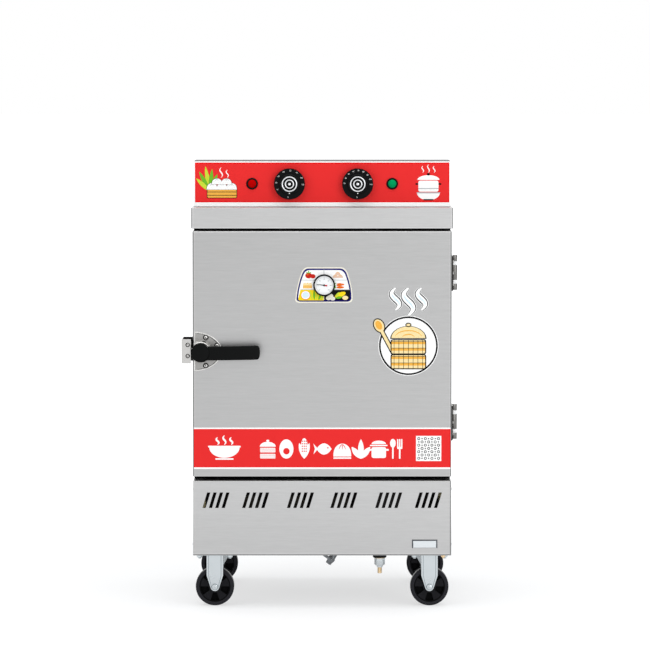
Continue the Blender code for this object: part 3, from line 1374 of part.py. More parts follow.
def thermometer(door_piece):
    """Dial thermometer: case with a recessed face, its stem through the door, and the needle."""
    rim = THERMOMETER_DIAMETER / 2
    stem = THERMOMETER_STEM_DIAMETER / 2
    stud = THERMOMETER_STUD_DIAMETER / 2
    front = -GAP - THERMOMETER_DEPTH
    floor = front + THERMOMETER_RECESS
    place = axis_frame("+Y", (THERMOMETER_X, 0, THERMOMETER_Z))
    profile = [
        (0, front + THERMOMETER_RIM / 2), (stud, front + THERMOMETER_RIM / 2), (stud, floor),
        (rim - THERMOMETER_RIM, floor), (rim - THERMOMETER_RIM, front),
        (rim - THERMOMETER_BEVEL, front), (rim, front + THERMOMETER_BEVEL), (rim, -GAP), (stem, -GAP),
        (stem, THERMOMETER_STEM_LENGTH), (0, THERMOMETER_STEM_LENGTH),
    ]
    bm = bmesh.new()
    add_lathe(bm, profile, 24, place)
    make("thermometer_case", bm, BLACK_PLASTIC, parent=door_piece)
    level = floor - GAP
    hole = stud + GAP
    hub = NEEDLE_HUB_DIAMETER / 2
    bm = bmesh.new()
    ring = [(hole, level - NEEDLE_THICKNESS), (hub, level - NEEDLE_THICKNESS), (hub, level), (hole, level)]
    add_lathe(bm, ring, 16, place, closed=True)
    pivot = (THERMOMETER_X, level, THERMOMETER_Z)
    needle = make("thermometer_needle", bm, RED_ENAMEL, at=pivot, parent=door_piece)
    blades = bmesh.new()
    half = NEEDLE_WIDTH / 2
    inner = (hub + hole) / 2
    inset = NEEDLE_THICKNESS / 8
    for outline in (
        [(inner, -half), (NEEDLE_LENGTH, -half / 3), (NEEDLE_LENGTH, half / 3), (inner, half)],
        [(-inner, half), (-NEEDLE_TAIL, half), (-NEEDLE_TAIL, -half), (-inner, -half)],
    ):
        turn = NEEDLE_REST_ANGLE
        turned = [
            (
                THERMOMETER_X + p * cos(turn) - q * sin(turn),
                THERMOMETER_Z + p * sin(turn) + q * cos(turn),
            )
            for p, q in outline
        ]
        add_prism(blades, turned, "Y", level - NEEDLE_THICKNESS + inset, level - inset)
    join(needle, blades)


def wheel(name, x, y, parent=None):
    """Caster wheel: tread, rim, hub and five pockets between broad webs on each face."""
    flat = 1 / cos(pi / WHEEL_SEGMENTS)
    half = WHEEL_WIDTH / 2
    hub = WHEEL_HUB_DIAMETER / 2
    bore = AXLE_DIAMETER / 2 + GAP
    rim = WHEEL_RADIUS - WHEEL_RIM
    face = half - WHEEL_FACE_RECESS
    right = [
        (WHEEL_RADIUS * flat, half - WHEEL_CROWN), ((WHEEL_RADIUS - WHEEL_CROWN) * flat, half),
        (rim * flat, face), (hub, face), (bore * flat, WHEEL_HUB_WIDTH / 2),
    ]
    profile = right + [(r, -h) for r, h in reversed(right)]
    centre = (x, y, WHEEL_RADIUS)
    bm = bmesh.new()
    add_lathe(bm, profile, WHEEL_SEGMENTS, axis_frame("-Y", centre), closed=True)
    tyre = make(name, bm, BLACK_RUBBER, at=centre, parent=parent)
    pockets = bmesh.new()
    low = hub + WHEEL_RIB / 2
    high = rim - WHEEL_RIB / 2
    half_pocket = pi / WHEEL_POCKETS * WHEEL_POCKET_SHARE
    for i in range(WHEEL_POCKETS):
        middle = -pi / 2 + 2 * pi * i / WHEEL_POCKETS
        for side in (-1, 1):
            outline = []
            for radius, sign in ((low, -1), (high, -1), (high, 1), (low, 1)):
                angle = middle + sign * half_pocket
                outline.append((x + radius * cos(angle), WHEEL_RADIUS + radius * sin(angle)))
            deep = face - WHEEL_POCKET_DEPTH
            add_prism(pockets, outline, "Y", y + side * deep, y + side * (half + OVERRUN))
    cut(tyre, pockets)
    return tyre


def caster_plate(bm, x, y):
    """Adds a caster's mounting plate."""
    top = GROUND_CLEARANCE - GAP
    outline = rounded(
        x - CASTER_PLATE_LENGTH / 2, y - CASTER_PLATE_WIDTH / 2, x + CASTER_PLATE_LENGTH / 2,
        y + CASTER_PLATE_WIDTH / 2, CASTER_PLATE_CORNER, 2,
    )
    add_prism(bm, outline, "Z", top - CASTER_PLATE_THICKNESS, top)


def bolt_holes(x, y):
    """Cutter for the four bolt holes of a mounting plate."""
    bm = bmesh.new()
    top = GROUND_CLEARANCE - GAP
    for sx in (-1, 1):
        for sy in (-1, 1):
            px = x + sx * CASTER_BOLT_PITCH_X / 2
            py = y + sy * CASTER_BOLT_PITCH_Y / 2
            start = (px, py, top - CASTER_PLATE_THICKNESS - OVERRUN)
            add_rod(bm, CASTER_BOLT_DIAMETER / 2, start, (px, py, top + OVERRUN), 8, "+Z")
    return bm


def fork_hollow(x, y, crown_under):
    """Cutter for the room between a fork's legs, below its crown."""
    bm = bmesh.new()
    half = WHEEL_HUB_WIDTH / 2 + FORK_SIDE_GAP
    reach = CASTER_PLATE_LENGTH
    add_box(bm, (x - reach, y - half, -OVERRUN), (x + reach, y + half, crown_under))
    return bm


def axle(x, y):
    """Adds the axle with its head and nut, outside the fork's legs."""
    bm = bmesh.new()
    outside = WHEEL_HUB_WIDTH / 2 + FORK_SIDE_GAP + FORK_SHEET
    head = AXLE_HEAD_DIAMETER / 2
    rod = AXLE_DIAMETER / 2
    end = outside + AXLE_HEAD_HEIGHT
    inner = outside - FORK_SHEET / 2
    half = [(rod, inner), (head, inner), (head, end), (0, end)]
    profile = [(r, -h) for r, h in reversed(half)] + half
    add_lathe(bm, profile, 12, axis_frame("+Y", (x, y, WHEEL_RADIUS)))
    return bm


def tip_arc(x, start, end):
    """The rounded tip of a fork leg about the axle."""
    return arc((x, WHEEL_RADIUS), FORK_TIP_RADIUS, start, end, 6)


def front_caster(name, x):
    """Rigid caster: plate, straight fork and axle in one piece, and its wheel."""
    y = FRONT_CASTER_Y
    half = FORK_WIDTH / 2
    outside = WHEEL_HUB_WIDTH / 2 + FORK_SIDE_GAP + FORK_SHEET
    top = GROUND_CLEARANCE - GAP - CASTER_PLATE_THICKNESS / 2
    outline = [(x - half, top), (x - half, FORK_SHOULDER)]
    outline += tip_arc(x, pi * 1.14, pi * 1.86)
    outline += [(x + half, FORK_SHOULDER), (x + half, top)]
    bm = bmesh.new()
    add_prism(bm, outline, "Y", y - outside, y + outside)
    fork = make(f"{name}_fork", bm, ZINC)
    cut(fork, fork_hollow(x, y, top - CASTER_PLATE_THICKNESS / 2 - FORK_SHEET))
    plate = bmesh.new()
    caster_plate(plate, x, y)
    join(fork, plate)
    cut(fork, bolt_holes(x, y))
    join(fork, axle(x, y))
    wheel(f"{name}_wheel", x, y)


def rear_caster(name, side):
    """Swivel caster: plate with raceway and kingpin, fork with its trail, and the wheel."""
    x = side * REAR_CASTER_X
    y = BODY_BACK - REAR_CASTER_BACK
    top = GROUND_CLEARANCE - GAP
    race_top = top - CASTER_PLATE_THICKNESS
    race_under = race_top - RACEWAY_HEIGHT
    crown_top = race_under - GAP
    crown_under = crown_top - SWIVEL_CROWN
    nut_top = crown_under - GAP
    bm = bmesh.new()
    caster_plate(bm, x, y)
    plate = make(f"{name}_plate", bm, ZINC)
    race = RACEWAY_DIAMETER / 2
    pin = KINGPIN_DIAMETER / 2
    nut = KINGPIN_NUT_DIAMETER / 2
    bearing = bmesh.new()
    profile = [
        (0, nut_top - KINGPIN_NUT_HEIGHT), (nut, nut_top - KINGPIN_NUT_HEIGHT),
        (nut, nut_top), (pin, nut_top),
        (pin, race_under), (race, race_under), (race - FOLD_RADIUS, race_top + CASTER_PLATE_THICKNESS / 2),
        (0, race_top + CASTER_PLATE_THICKNESS / 2),
    ]
    add_lathe(bearing, profile, 16, axis_frame("+Z", (x, y, 0)))
    join(plate, bearing)
    cut(plate, bolt_holes(x, y))

    half = FORK_WIDTH / 2
    outside = WHEEL_HUB_WIDTH / 2 + FORK_SIDE_GAP + FORK_SHEET
    axle_x = x + side * CASTER_TRAIL
    tip = [
        (axle_x + side * FORK_TIP_RADIUS * cos(a), WHEEL_RADIUS + FORK_TIP_RADIUS * sin(a))
        for a in (pi * (1.08 + 0.90 * i / 6) for i in range(7))
    ]
    outline = [(x - side * half, crown_top - GAP), (x - side * half, crown_under - FORK_SHEET)]
    outline = outline + tip
    outline += [(x + side * half, crown_under - FORK_SHEET), (x + side * half, crown_top - GAP)]
    bm = bmesh.new()
    add_prism(bm, outline, "Y", y - outside, y + outside)
    pivot = (x, y, crown_top)
    fork = make(f"{name}_fork", bm, ZINC, at=pivot)
    crown = bmesh.new()
    add_rod(crown, race, (x, y, crown_under), (x, y, crown_top), 16, "+Z")
    join(fork, crown)
    cut(fork, fork_hollow(x, y, crown_under))
    hole = bmesh.new()
    add_bore(hole, pin + GAP, (x, y, crown_under - OVERRUN), (x, y, crown_top + OVERRUN), 16, "+Z")
    cut(fork, hole)
    join(fork, axle(axle_x, y))
    wheel(f"{name}_wheel", axle_x, y, parent=fork)


side_panel("side_panel_left", -1)
side_panel("side_panel_right", 1)
back_panel()
top_cap()
base_pan()
skirt_panel()
front_frame()
chamber_liner()
water_tank()
insulation()
rack("rack_left", -1)
rack("rack_right", 1)
for number in range(TRAY_COUNT):
    tray(f"tray_{number + 1}", number)
for number, place in enumerate(element_positions()):
    heating_element(f"heating_element_{number + 1}", place)
float_box()
float_valve()
float_arm()
drain_valve()
drain_lever()
earth_bolt()
control_housing()
control("timer", TIMER_X)
control("thermostat", THERMOSTAT_X)
knob("timer_knob", TIMER_X)
knob("thermostat_knob", THERMOSTAT_X)
lamp("lamp_red", -LAMP_X, RED_LENS)
lamp("lamp_green", LAMP_X, GREEN_LENS)
cable_gland()
steam_outlet()
door_leaf = door()
door_gasket(door_leaf)
hinge("upper", DOOR_TOP - HINGE_UPPER_DROP, door_leaf)
hinge("lower", DOOR_TOP - HINGE_LOWER_DROP, door_leaf)
latch_plate(door_leaf)
latch_tongue(latch_lever(door_leaf))
latch_keeper()
thermometer(door_leaf)
front_caster("caster_front_left", -FRONT_CASTER_X)
front_caster("caster_front_right", FRONT_CASTER_X)
rear_caster("caster_rear_left", -1)
rear_caster("caster_rear_right", 1)
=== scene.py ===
from math import cos, hypot, pi, radians, sin

import bmesh
import bpy
from mathutils import Matrix, Vector


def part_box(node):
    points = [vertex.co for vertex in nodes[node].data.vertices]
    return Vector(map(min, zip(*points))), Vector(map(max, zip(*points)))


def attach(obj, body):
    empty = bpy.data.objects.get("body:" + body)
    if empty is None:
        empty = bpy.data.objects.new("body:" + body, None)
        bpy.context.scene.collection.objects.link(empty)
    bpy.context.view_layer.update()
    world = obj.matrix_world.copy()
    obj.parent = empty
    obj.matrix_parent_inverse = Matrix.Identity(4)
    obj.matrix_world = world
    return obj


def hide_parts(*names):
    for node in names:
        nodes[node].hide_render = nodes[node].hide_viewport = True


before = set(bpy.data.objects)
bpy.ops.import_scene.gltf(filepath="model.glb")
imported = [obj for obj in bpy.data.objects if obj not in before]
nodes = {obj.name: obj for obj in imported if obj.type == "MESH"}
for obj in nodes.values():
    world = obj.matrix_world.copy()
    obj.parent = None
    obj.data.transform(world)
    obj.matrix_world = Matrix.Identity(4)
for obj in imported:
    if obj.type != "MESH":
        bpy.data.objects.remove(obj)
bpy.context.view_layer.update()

# Camera: a long lens nearly ten metres from the door, level with the upper edge of the
# cabinet and tipped slightly down, as the photograph was taken.
long_lens = bpy.data.cameras.new("long lens")
long_lens.lens = 204.25
long_lens.sensor_width = 36.0
long_lens.shift_y = -0.1
long_lens.clip_end = 300.0
camera = bpy.data.objects.new("camera", long_lens)
camera.location = (0.0143, -9.9162, 1.5078)
camera.rotation_euler = (radians(86.513), 0.0, 0.0)
bpy.context.scene.collection.objects.link(camera)
bpy.context.scene.camera = camera
bpy.context.scene.view_settings.view_transform = "Standard"


# Studio: a plain pale floor in a white room, lit by four large soft panels: one overhead,
# one from the left, one from the right and one from behind.
def linear(code):
    """An sRGB hex colour as the linear colour that a shader takes."""
    parts = [int(code[i:i + 2], 16) / 255 for i in (1, 3, 5)]
    steps = [p / 12.92 if p <= 0.04045 else ((p + 0.055) / 1.055) ** 2.4 for p in parts]
    return (*steps, 1.0)


def put(tree, kind, inputs=None, **settings):
    """Adds one node: settings are its own, inputs are values or sockets to link."""
    added = tree.nodes.new(kind)
    for name, value in settings.items():
        setattr(added, name, value)
    for name, value in (inputs or {}).items():
        if isinstance(value, bpy.types.NodeSocket):
            tree.links.new(value, added.inputs[name])
        else:
            added.inputs[name].default_value = value
    return added


def seen_directly(tree):
    """1 for rays from the camera, a reflection or through glass, 0 for the light itself."""
    path = put(tree, "ShaderNodeLightPath").outputs
    mirrored = put(
        tree, "ShaderNodeMath", {0: path["Is Camera Ray"], 1: path["Is Glossy Ray"]},
        operation="MAXIMUM",
    ).outputs[0]
    return put(
        tree, "ShaderNodeMath", {0: mirrored, 1: path["Is Transmission Ray"]}, operation="MAXIMUM",
    ).outputs[0]


room = bpy.data.worlds.new("white room")
room.use_nodes = True
bpy.context.scene.world = room
tree = room.node_tree
tree.nodes.clear()
pure_white = (1.0, 1.0, 1.0, 1.0)
soft = put(tree, "ShaderNodeBackground", {"Color": linear("#F8F9FA"), "Strength": 0.76})
white = put(tree, "ShaderNodeBackground", {"Color": pure_white, "Strength": 1.0})
blend = put(tree, "ShaderNodeMixShader", {0: seen_directly(tree), 1: soft.outputs[0], 2: white.outputs[0]})
put(tree, "ShaderNodeOutputWorld", {0: blend.outputs[0]})

aim = Vector((0.0, 0.0, 0.6))
for name, place, width, height, radiance in (
    ("panel overhead", (0.0, -0.8, 5.2), 6.0, 5.0, 1.5),
    ("panel left", (-6.0, -5.0, 3.0), 5.0, 4.0, 0.75),
    ("panel right", (4.4, -7.0, 2.6), 5.0, 4.4, 2.2),
    ("panel behind", (0.5, 6.0, 3.6), 6.0, 3.0, 0.9),
):
    light = bpy.data.lights.new(name, "AREA")
    light.shape = "RECTANGLE"
    light.size = width
    light.size_y = height
    light.energy = radiance * pi * width * height
    panel = bpy.data.objects.new(name, light)
    panel.location = place
    panel.rotation_euler = (aim - Vector(place)).to_track_quat("-Z", "Y").to_euler()
    panel.visible_camera = False
    bpy.context.scene.collection.objects.link(panel)

# the paint fades into the white room between 0.9 and 2.6 m from the cabinet
floor_paint = bpy.data.materials.new("matt white floor paint")
floor_paint.use_nodes = True
tree = floor_paint.node_tree
tree.nodes.clear()
place = put(tree, "ShaderNodeTexCoord").outputs["Object"]
speckle = put(tree, "ShaderNodeTexNoise", {"Vector": place, "Scale": 160.0})
tint = put(
    tree, "ShaderNodeMix", {0: speckle.outputs[0], 6: linear("#A9AAAB"), 7: linear("#ACADAE")},
    data_type="RGBA",
)
matt = put(tree, "ShaderNodeBsdfDiffuse", {"Color": tint.outputs[2]})
reach = put(tree, "ShaderNodeVectorMath", {0: place}, operation="LENGTH").outputs["Value"]
fade = put(
    tree, "ShaderNodeMapRange", {0: reach, 1: 0.9, 2: 2.6, 3: 0.58, 4: 1.0},
    interpolation_type="SMOOTHSTEP",
)
lift = put(tree, "ShaderNodeEmission", {"Color": pure_white, "Strength": fade.outputs[0]})
shown = put(tree, "ShaderNodeAddShader", {0: matt.outputs[0], 1: lift.outputs[0]})
pale = put(tree, "ShaderNodeBsdfDiffuse", {"Color": linear("#E8E9EA")})
blend = put(tree, "ShaderNodeMixShader", {0: seen_directly(tree), 1: pale.outputs[0], 2: shown.outputs[0]})
put(tree, "ShaderNodeOutputMaterial", {0: blend.outputs[0]})
ground = bmesh.new()
bmesh.ops.create_grid(ground, x_segments=1, y_segments=1, size=60.0)
floor_mesh = bpy.data.meshes.new("floor")
ground.to_mesh(floor_mesh)
ground.free()
floor_mesh.materials.append(floor_paint)
floor = bpy.data.objects.new("floor", floor_mesh)
floor.location = (0.0, 0.0, -0.0004)
bpy.context.scene.collection.objects.link(floor)


# Body: side panels, back panel and base pan of folded stainless sheet, brushed along its
# length before folding, so it shines softly and shows fine level scratches.
def shade(tone, factor, lift=0.0):
    """A hex colour made darker or brighter, as a shader takes it."""
    return tuple(min(c * factor + lift, 1.0) for c in linear(tone)[:3]) + (1.0,)


def bare_finish(name, values):
    """A new material with fixed shader values, its node tree and the place on its piece."""
    finish = bpy.data.materials.new(name)
    finish.use_nodes = True
    tree = finish.node_tree
    for socket, value in values.items():
        tree.nodes["Principled BSDF"].inputs[socket].default_value = value
    return finish, tree, put(tree, "ShaderNodeTexCoord").outputs["Object"]


def patterned(tree, pattern, colours, gloss=None, relief=None, tint=None):
    """Joins a pattern to a shader: its two colours, its least and greatest roughness, and
    the strength and depth of its relief. Another pattern may tint it."""
    shader = tree.nodes["Principled BSDF"].inputs
    mixed = put(tree, "ShaderNodeMix", {0: tint or pattern, 6: colours[0], 7: colours[1]}, data_type="RGBA")
    tree.links.new(mixed.outputs[2], shader["Base Color"])
    if gloss:
        rough = put(tree, "ShaderNodeMapRange", {0: pattern, 3: gloss[0], 4: gloss[1]})
        tree.links.new(rough.outputs[0], shader["Roughness"])
    if relief:
        bump = put(tree, "ShaderNodeBump", {"Strength": relief[0], "Distance": relief[1], "Height": pattern})
        tree.links.new(bump.outputs[0], shader["Normal"])


level_grain = (22.0, 420.0, 420.0)
deep_grain = (420.0, 22.0, 420.0)


def brushed_sheet(name, tone, roughness=0.34, grain=level_grain):
    """Stainless sheet with a brushed finish, which gives soft streaks along the grain. Its
    scratches are 0.3 mm apart and are drawn eight times as coarse, so that they show; grain
    is their cycles per metre on x, y and z."""
    sheet, tree, place = bare_finish(name, {"Metallic": 1.0})
    along = put(tree, "ShaderNodeMapping", {"Vector": place, "Scale": grain}).outputs[0]
    scratch = put(
        tree, "ShaderNodeTexNoise", {"Vector": along, "Scale": 1.0, "Detail": 4.0, "Roughness": 0.65},
    ).outputs[0]
    wide = put(tree, "ShaderNodeMapping", {"Vector": place, "Scale": tuple(g / 4 for g in grain)})
    streak = put(tree, "ShaderNodeTexNoise", {"Vector": wide.outputs[0], "Scale": 1.0, "Detail": 2.0})
    both = put(tree, "ShaderNodeMix", {0: 0.35, 2: scratch, 3: streak.outputs[0]}).outputs[0]
    patterned(
        tree, scratch, (shade(tone, 0.86), shade(tone, 1.14)),
        gloss=(roughness - 0.05, roughness + 0.05), relief=(0.05, 0.0002), tint=both,
    )
    return sheet


def paint_fold_light(finish, front, reach, gain, *edges):
    """Paints light and shade on a panel's folds: lines on its front face, as wide as reach, lighter by gain
    as a painted highlight or darker as painted shade. An edge is its axis, its place and the way inward."""
    lip = 0.003
    tree = finish.node_tree
    colour = tree.nodes["Principled BSDF"].inputs["Base Color"]
    plain = colour.links[0].from_socket
    place = put(tree, "ShaderNodeTexCoord").outputs["Object"]
    axes = put(tree, "ShaderNodeSeparateXYZ", {0: place}).outputs
    near = 1.0
    for axis, at, inward in edges:
        depth = put(
            tree, "ShaderNodeMath", {0: axes[axis], 1: inward, 2: -at * inward}, operation="MULTIPLY_ADD",
        ).outputs[0]
        near = put(tree, "ShaderNodeMath", {0: depth, 1: near}, operation="MINIMUM").outputs[0]
    close = put(tree, "ShaderNodeMath", {0: near, 1: reach}, operation="LESS_THAN").outputs[0]
    ahead = put(tree, "ShaderNodeMath", {0: axes["Y"], 1: front + lip}, operation="LESS_THAN").outputs[0]
    drawn = put(tree, "ShaderNodeMath", {0: close, 1: ahead}, operation="MULTIPLY").outputs[0]
    level = put(tree, "ShaderNodeMath", {0: drawn, 1: gain - 1.0, 2: 1.0}, operation="MULTIPLY_ADD")
    toned = put(tree, "ShaderNodeVectorMath", {0: plain, "Scale": level.outputs[0]}, operation="SCALE")
    tree.links.new(toned.outputs[0], colour)


def wear(finish, *names):
    """Gives solids of the frame their finish."""
    for name in names:
        nodes[name].data.materials.clear()
        nodes[name].data.materials.append(finish)


def softened(name, edge, segments=2):
    """A copy of a solid with its triangles merged, and its edges that turn by more than 30
    degrees broken by a small radius."""
    bm = bmesh.new()
    bm.from_mesh(nodes[name].data)
    bmesh.ops.remove_doubles(bm, verts=bm.verts, dist=2e-6)
    bmesh.ops.dissolve_limit(
        bm, angle_limit=radians(0.6), verts=bm.verts, edges=bm.edges,
        use_dissolve_boundaries=False, delimit=set(),
    )
    sharp = [e for e in bm.edges if len(e.link_faces) == 2 and e.calc_face_angle(0.0) > radians(30)]
    bmesh.ops.bevel(
        bm, geom=sharp, offset=edge, segments=segments, profile=0.5, affect="EDGES",
        clamp_overlap=True, material=-1,
    )
    return bm


def piece(name, bm, *finishes, body="cabinet", slot=None, stands_for=(), broad=4e-4):
    """Makes a bmesh a piece of the object that rides on a body. Faces of more than broad
    square metres stay flat."""
    mesh = bpy.data.meshes.new(name)
    bm.to_mesh(mesh)
    bm.free()
    for finish in finishes:
        mesh.materials.append(finish)
    mesh.set_sharp_from_angle(angle=radians(46))
    for face in mesh.polygons:
        face.use_smooth = face.area < broad
    made = bpy.data.objects.new(name, mesh)
    bpy.context.scene.collection.objects.link(made)
    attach(made, body)
    if stands_for:
        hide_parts(*stands_for)


def resurfaced(name, solid, edge, finish, slot="stainless", body="cabinet", segments=2):
    """Puts a solid's own shape in its place, with its edges broken and in the finish it is given."""
    piece(name, softened(solid, edge, segments), finish, body=body, slot=slot, stands_for=[solid])


sheet_edge = 0.0003
lid_edge = 0.0004
side_steel = brushed_sheet("brushed stainless, grain front to back", "#B7B7B7", grain=deep_grain)
back_steel = brushed_sheet("brushed stainless, grain level", "#B4B4B4")
resurfaced("side_left", "side_panel_left", sheet_edge, side_steel)
resurfaced("side_right", "side_panel_right", sheet_edge, side_steel)
resurfaced("back", "back_panel", sheet_edge, back_steel)
resurfaced("base", "base_pan", sheet_edge, back_steel)


# Screws: pan heads of polished stainless, turned and with a driven recess. They hold the back
# panel and the skirt's sides; the same heads come again on the latch, hinges and outlet.
def bright_metal(name, tone, roughness, cell):
    """Polished or plated metal, which mirrors its surroundings a little blurred; cell is the
    size in metres of its faint cloudy patches."""
    metal, tree, place = bare_finish(name, {"Metallic": 1.0})
    cloud = put(tree, "ShaderNodeTexNoise", {"Vector": place, "Scale": 1.0 / cell, "Detail": 3.0})
    gloss = (roughness - 0.05, roughness + 0.08)
    patterned(tree, cloud.outputs[0], (shade(tone, 0.92), shade(tone, 1.06)), gloss)
    return metal


def spun(bm, profile, place, steps, ink=0, closed=False):
    """Turns a profile of (radius, height) points about local Z and sets it at a place."""
    before = set(bm.verts)
    points = [bm.verts.new((r, 0.0, h)) for r, h in profile]
    lines = [bm.edges.new(pair) for pair in zip(points, points[1:])]
    if closed:
        lines.append(bm.edges.new((points[-1], points[0])))
    bmesh.ops.spin(
        bm, geom=points + lines, cent=(0, 0, 0), axis=(0, 0, 1), angle=2 * pi, steps=steps,
        use_merge=True, use_duplicate=False,
    )
    bmesh.ops.remove_doubles(bm, verts=[v for v in bm.verts if v not in before], dist=1e-6)
    added = [v for v in bm.verts if v not in before]
    bmesh.ops.transform(bm, matrix=place, verts=added)
    faces = list({f for v in added for f in v.link_faces})
    for face in faces:
        face.material_index = ink
    bmesh.ops.recalc_face_normals(bm, faces=faces)


def facing(direction, at):
    """Sets local Z along front, back, left, right, up or down at a point."""
    turn = {
        "front": Matrix.Rotation(pi / 2, 4, "X"), "back": Matrix.Rotation(-pi / 2, 4, "X"),
        "left": Matrix.Rotation(-pi / 2, 4, "Y"), "right": Matrix.Rotation(pi / 2, 4, "Y"),
        "up": Matrix(), "down": Matrix.Rotation(pi, 4, "X"),
    }[direction]
    return Matrix.Translation(at) @ turn


pan_head_shares = (
    (0, 0.25), (0.36, 0.3), (0.42, 0.62), (0.7, 0.56), (0.92, 0.34), (1, 0.1), (1, -0.05), (0, -0.05),
)


def screw(bm, direction, at, radius):
    """A pan head with its recess, its outline in shares of its radius."""
    spun(bm, [(r * radius, h * radius) for r, h in pan_head_shares], facing(direction, at), 18)


polished = bright_metal("polished stainless", "#D2D4D6", 0.20, 0.02)
door_low, door_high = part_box("door_outer")
middle = (door_low.x + door_high.x) / 2
front = door_low.y
back_low, back_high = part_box("back_panel")
skirt_low, skirt_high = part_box("skirt_panel")
back_head = 0.0045
skirt_head = 0.0042
heads = bmesh.new()
for side in (-1, 1):
    for share in (0.04, 0.28, 0.52, 0.76, 0.965):
        z = back_low.z + share * (back_high.z - back_low.z)
        screw(heads, "back", (middle + side * 0.322, back_high.y, z), back_head)
for x in (-0.16, 0.0, 0.16):
    screw(heads, "back", (middle + x, back_high.y, back_low.z + 0.012), back_head)
for direction, edge in (("left", skirt_low.x), ("right", skirt_high.x)):
    for z in (0.165, 0.312):
        screw(heads, direction, (edge, front + 0.038, z), skirt_head)
piece("panel_screws", heads, polished, slot="bright_stainless")

# Top cap: a folded lid over the whole roof that stands out over the door as a visor. Its folds are small
# radii, with a painted highlight along the foot and a painted highlight and painted shade at the ends.
cap_steel = brushed_sheet("brushed stainless of the cap", "#B7B7B7", 0.32)
cap_low, cap_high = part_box("top_cap")
ends = (("X", cap_low.x, 1.0), ("X", cap_high.x, -1.0))
paint_fold_light(cap_steel, cap_low.y, 0.0030, 1.28, ("Z", cap_low.z, 1.0))
paint_fold_light(cap_steel, cap_low.y, 0.0056, 1.16, *ends)
paint_fold_light(cap_steel, cap_low.y, 0.0032, 0.45, *ends)
resurfaced("roof_cap", "top_cap", lid_edge, cap_steel)

# Skirt: the folded front cover of the lower compartment, with six groups of air slots punched on a slant. A
# painted highlight with a painted shade line under it marks the fold at its foot, and a painted shade line
# runs down its right edge.
skirt_steel = brushed_sheet("brushed stainless of the skirt", "#B7B7B7", 0.33)
skirt_foot = ("Z", skirt_low.z, 1.0)
paint_fold_light(skirt_steel, skirt_low.y, 0.0066, 1.12, skirt_foot)
paint_fold_light(skirt_steel, skirt_low.y, 0.0036, 0.50, skirt_foot, ("X", skirt_high.x, -1.0))
resurfaced("skirt", "skirt_panel", sheet_edge, skirt_steel)


# Plate holder: a small folded channel, open at its lower edge, with a blank satin plate
# slid into it and two rivets.
def slab(bm, low, high, edge, segments=2):
    """A rectangular plate between two corners with broken edges."""
    size = [b - a for a, b in zip(low, high)]
    centre = [(a + b) / 2 for a, b in zip(low, high)]
    place = Matrix.Translation(centre) @ Matrix.Diagonal((*size, 1.0))
    made = bmesh.ops.create_cube(bm, size=1.0, matrix=place)["verts"]
    lines = list({e for v in made for e in v.link_edges})
    bmesh.ops.bevel(
        bm, geom=lines, offset=edge, segments=segments, profile=0.5, affect="EDGES", material=-1,
    )


satin = bright_metal("satin aluminium", "#D5DADD", 0.38, 0.004)
dark_steel = bright_metal("oiled dark steel", "#55585C", 0.35, 0.006)
y = skirt_low.y
x0, x1, z0, z1 = middle + 0.2366, middle + 0.3034, 0.1597, 0.1819
wall, stands_out, fold = 0.0024, 0.0026, 0.0005
holder = bmesh.new()
slab(holder, (x0, y - stands_out, z0), (x0 + wall, y, z1), fold)
slab(holder, (x1 - wall, y - stands_out, z0), (x1, y, z1), fold)
slab(holder, (x0, y - stands_out, z1 - wall), (x1, y, z1), fold)
slab(holder, (x0 + wall / 2, y - 0.0006, z0 + 0.0004), (x1 - wall / 2, y, z1 - wall / 2), 0.0001)
piece("plate_holder", holder, dark_steel, slot="bright_stainless")
blank = bmesh.new()
slab(blank, (x0 + 0.0030, y - 0.0018, z0 + 0.0010), (x1 - 0.0030, y - 0.0007, z1 - 0.0030), 0.0004)
for x in (x0 + 0.0065, x1 - 0.0065):
    screw(blank, "front", (x, y - 0.0018, (z0 + z1) / 2 - 0.001), 0.0014)
piece("blank_plate", blank, satin, slot="bright_stainless")


# Control housing: a folded box on the roof's front edge. A printed film covers its face:
# a red field with a deeper red edge, a white border, and plain pictures in the corners.
def vinyl(name, tone, roughness=0.36):
    """Printed film, which shines faintly through its orange-peel skin; the peel is 1.5 mm
    across."""
    film, tree, place = bare_finish(name, {"IOR": 1.46, "Specular IOR Level": 0.08})
    peel = put(tree, "ShaderNodeTexNoise", {"Vector": place, "Scale": 650.0, "Detail": 2.0})
    gloss = (roughness - 0.05, roughness + 0.05)
    patterned(tree, peel.outputs[0], (shade(tone, 0.97), linear(tone)), gloss)
    return film


films = [vinyl(name, tone) for name, tone in (
    ("white film", "#FAFAF9"), ("deep red film", "#E60A0A"), ("red film", "#E62E2E"),
    ("black film", "#0C0C0E"), ("leaf green film", "#6FB52C"), ("yellow green film", "#C6D83A"),
    ("bamboo yellow film", "#F0B24A"), ("pale straw film", "#F6DFA6"), ("pale blue film", "#D5EAF4"),
    ("navy film", "#110B68"), ("grey film", "#B4B7BA"), ("orange film", "#E86A1E"),
)]
WHITE, DEEP_RED, RED, BLACK, LEAF, LIME, BAMBOO, STRAW, SKY, NAVY, GREY, ORANGE = range(12)
ink_layer = 0.00006
hair = 0.000008
prints = []


def printed(bm, panel, *shapes):
    """Prints shapes in front of a panel, each an outline, its layer and its ink. A shape is
    a thin closed plate, thicker with its layer, and up to five hairs less than that in turn,
    so that no two shapes printed after each other coincide."""
    for outline, layer, ink in shapes:
        prints.append(ink)
        thickness = ink_layer * layer - hair * (len(prints) % 6)
        face = bm.faces.new([bm.verts.new((x, panel, z)) for x, z in outline])
        rise = bmesh.ops.extrude_face_region(bm, geom=[face])["geom"]
        top = [v for v in rise if isinstance(v, bmesh.types.BMVert)]
        bmesh.ops.translate(bm, verts=top, vec=(0.0, -thickness, 0.0))
        faces = list({f for v in top for f in v.link_faces} | {face})
        for part in faces:
            part.material_index = ink
        bmesh.ops.recalc_face_normals(bm, faces=faces)


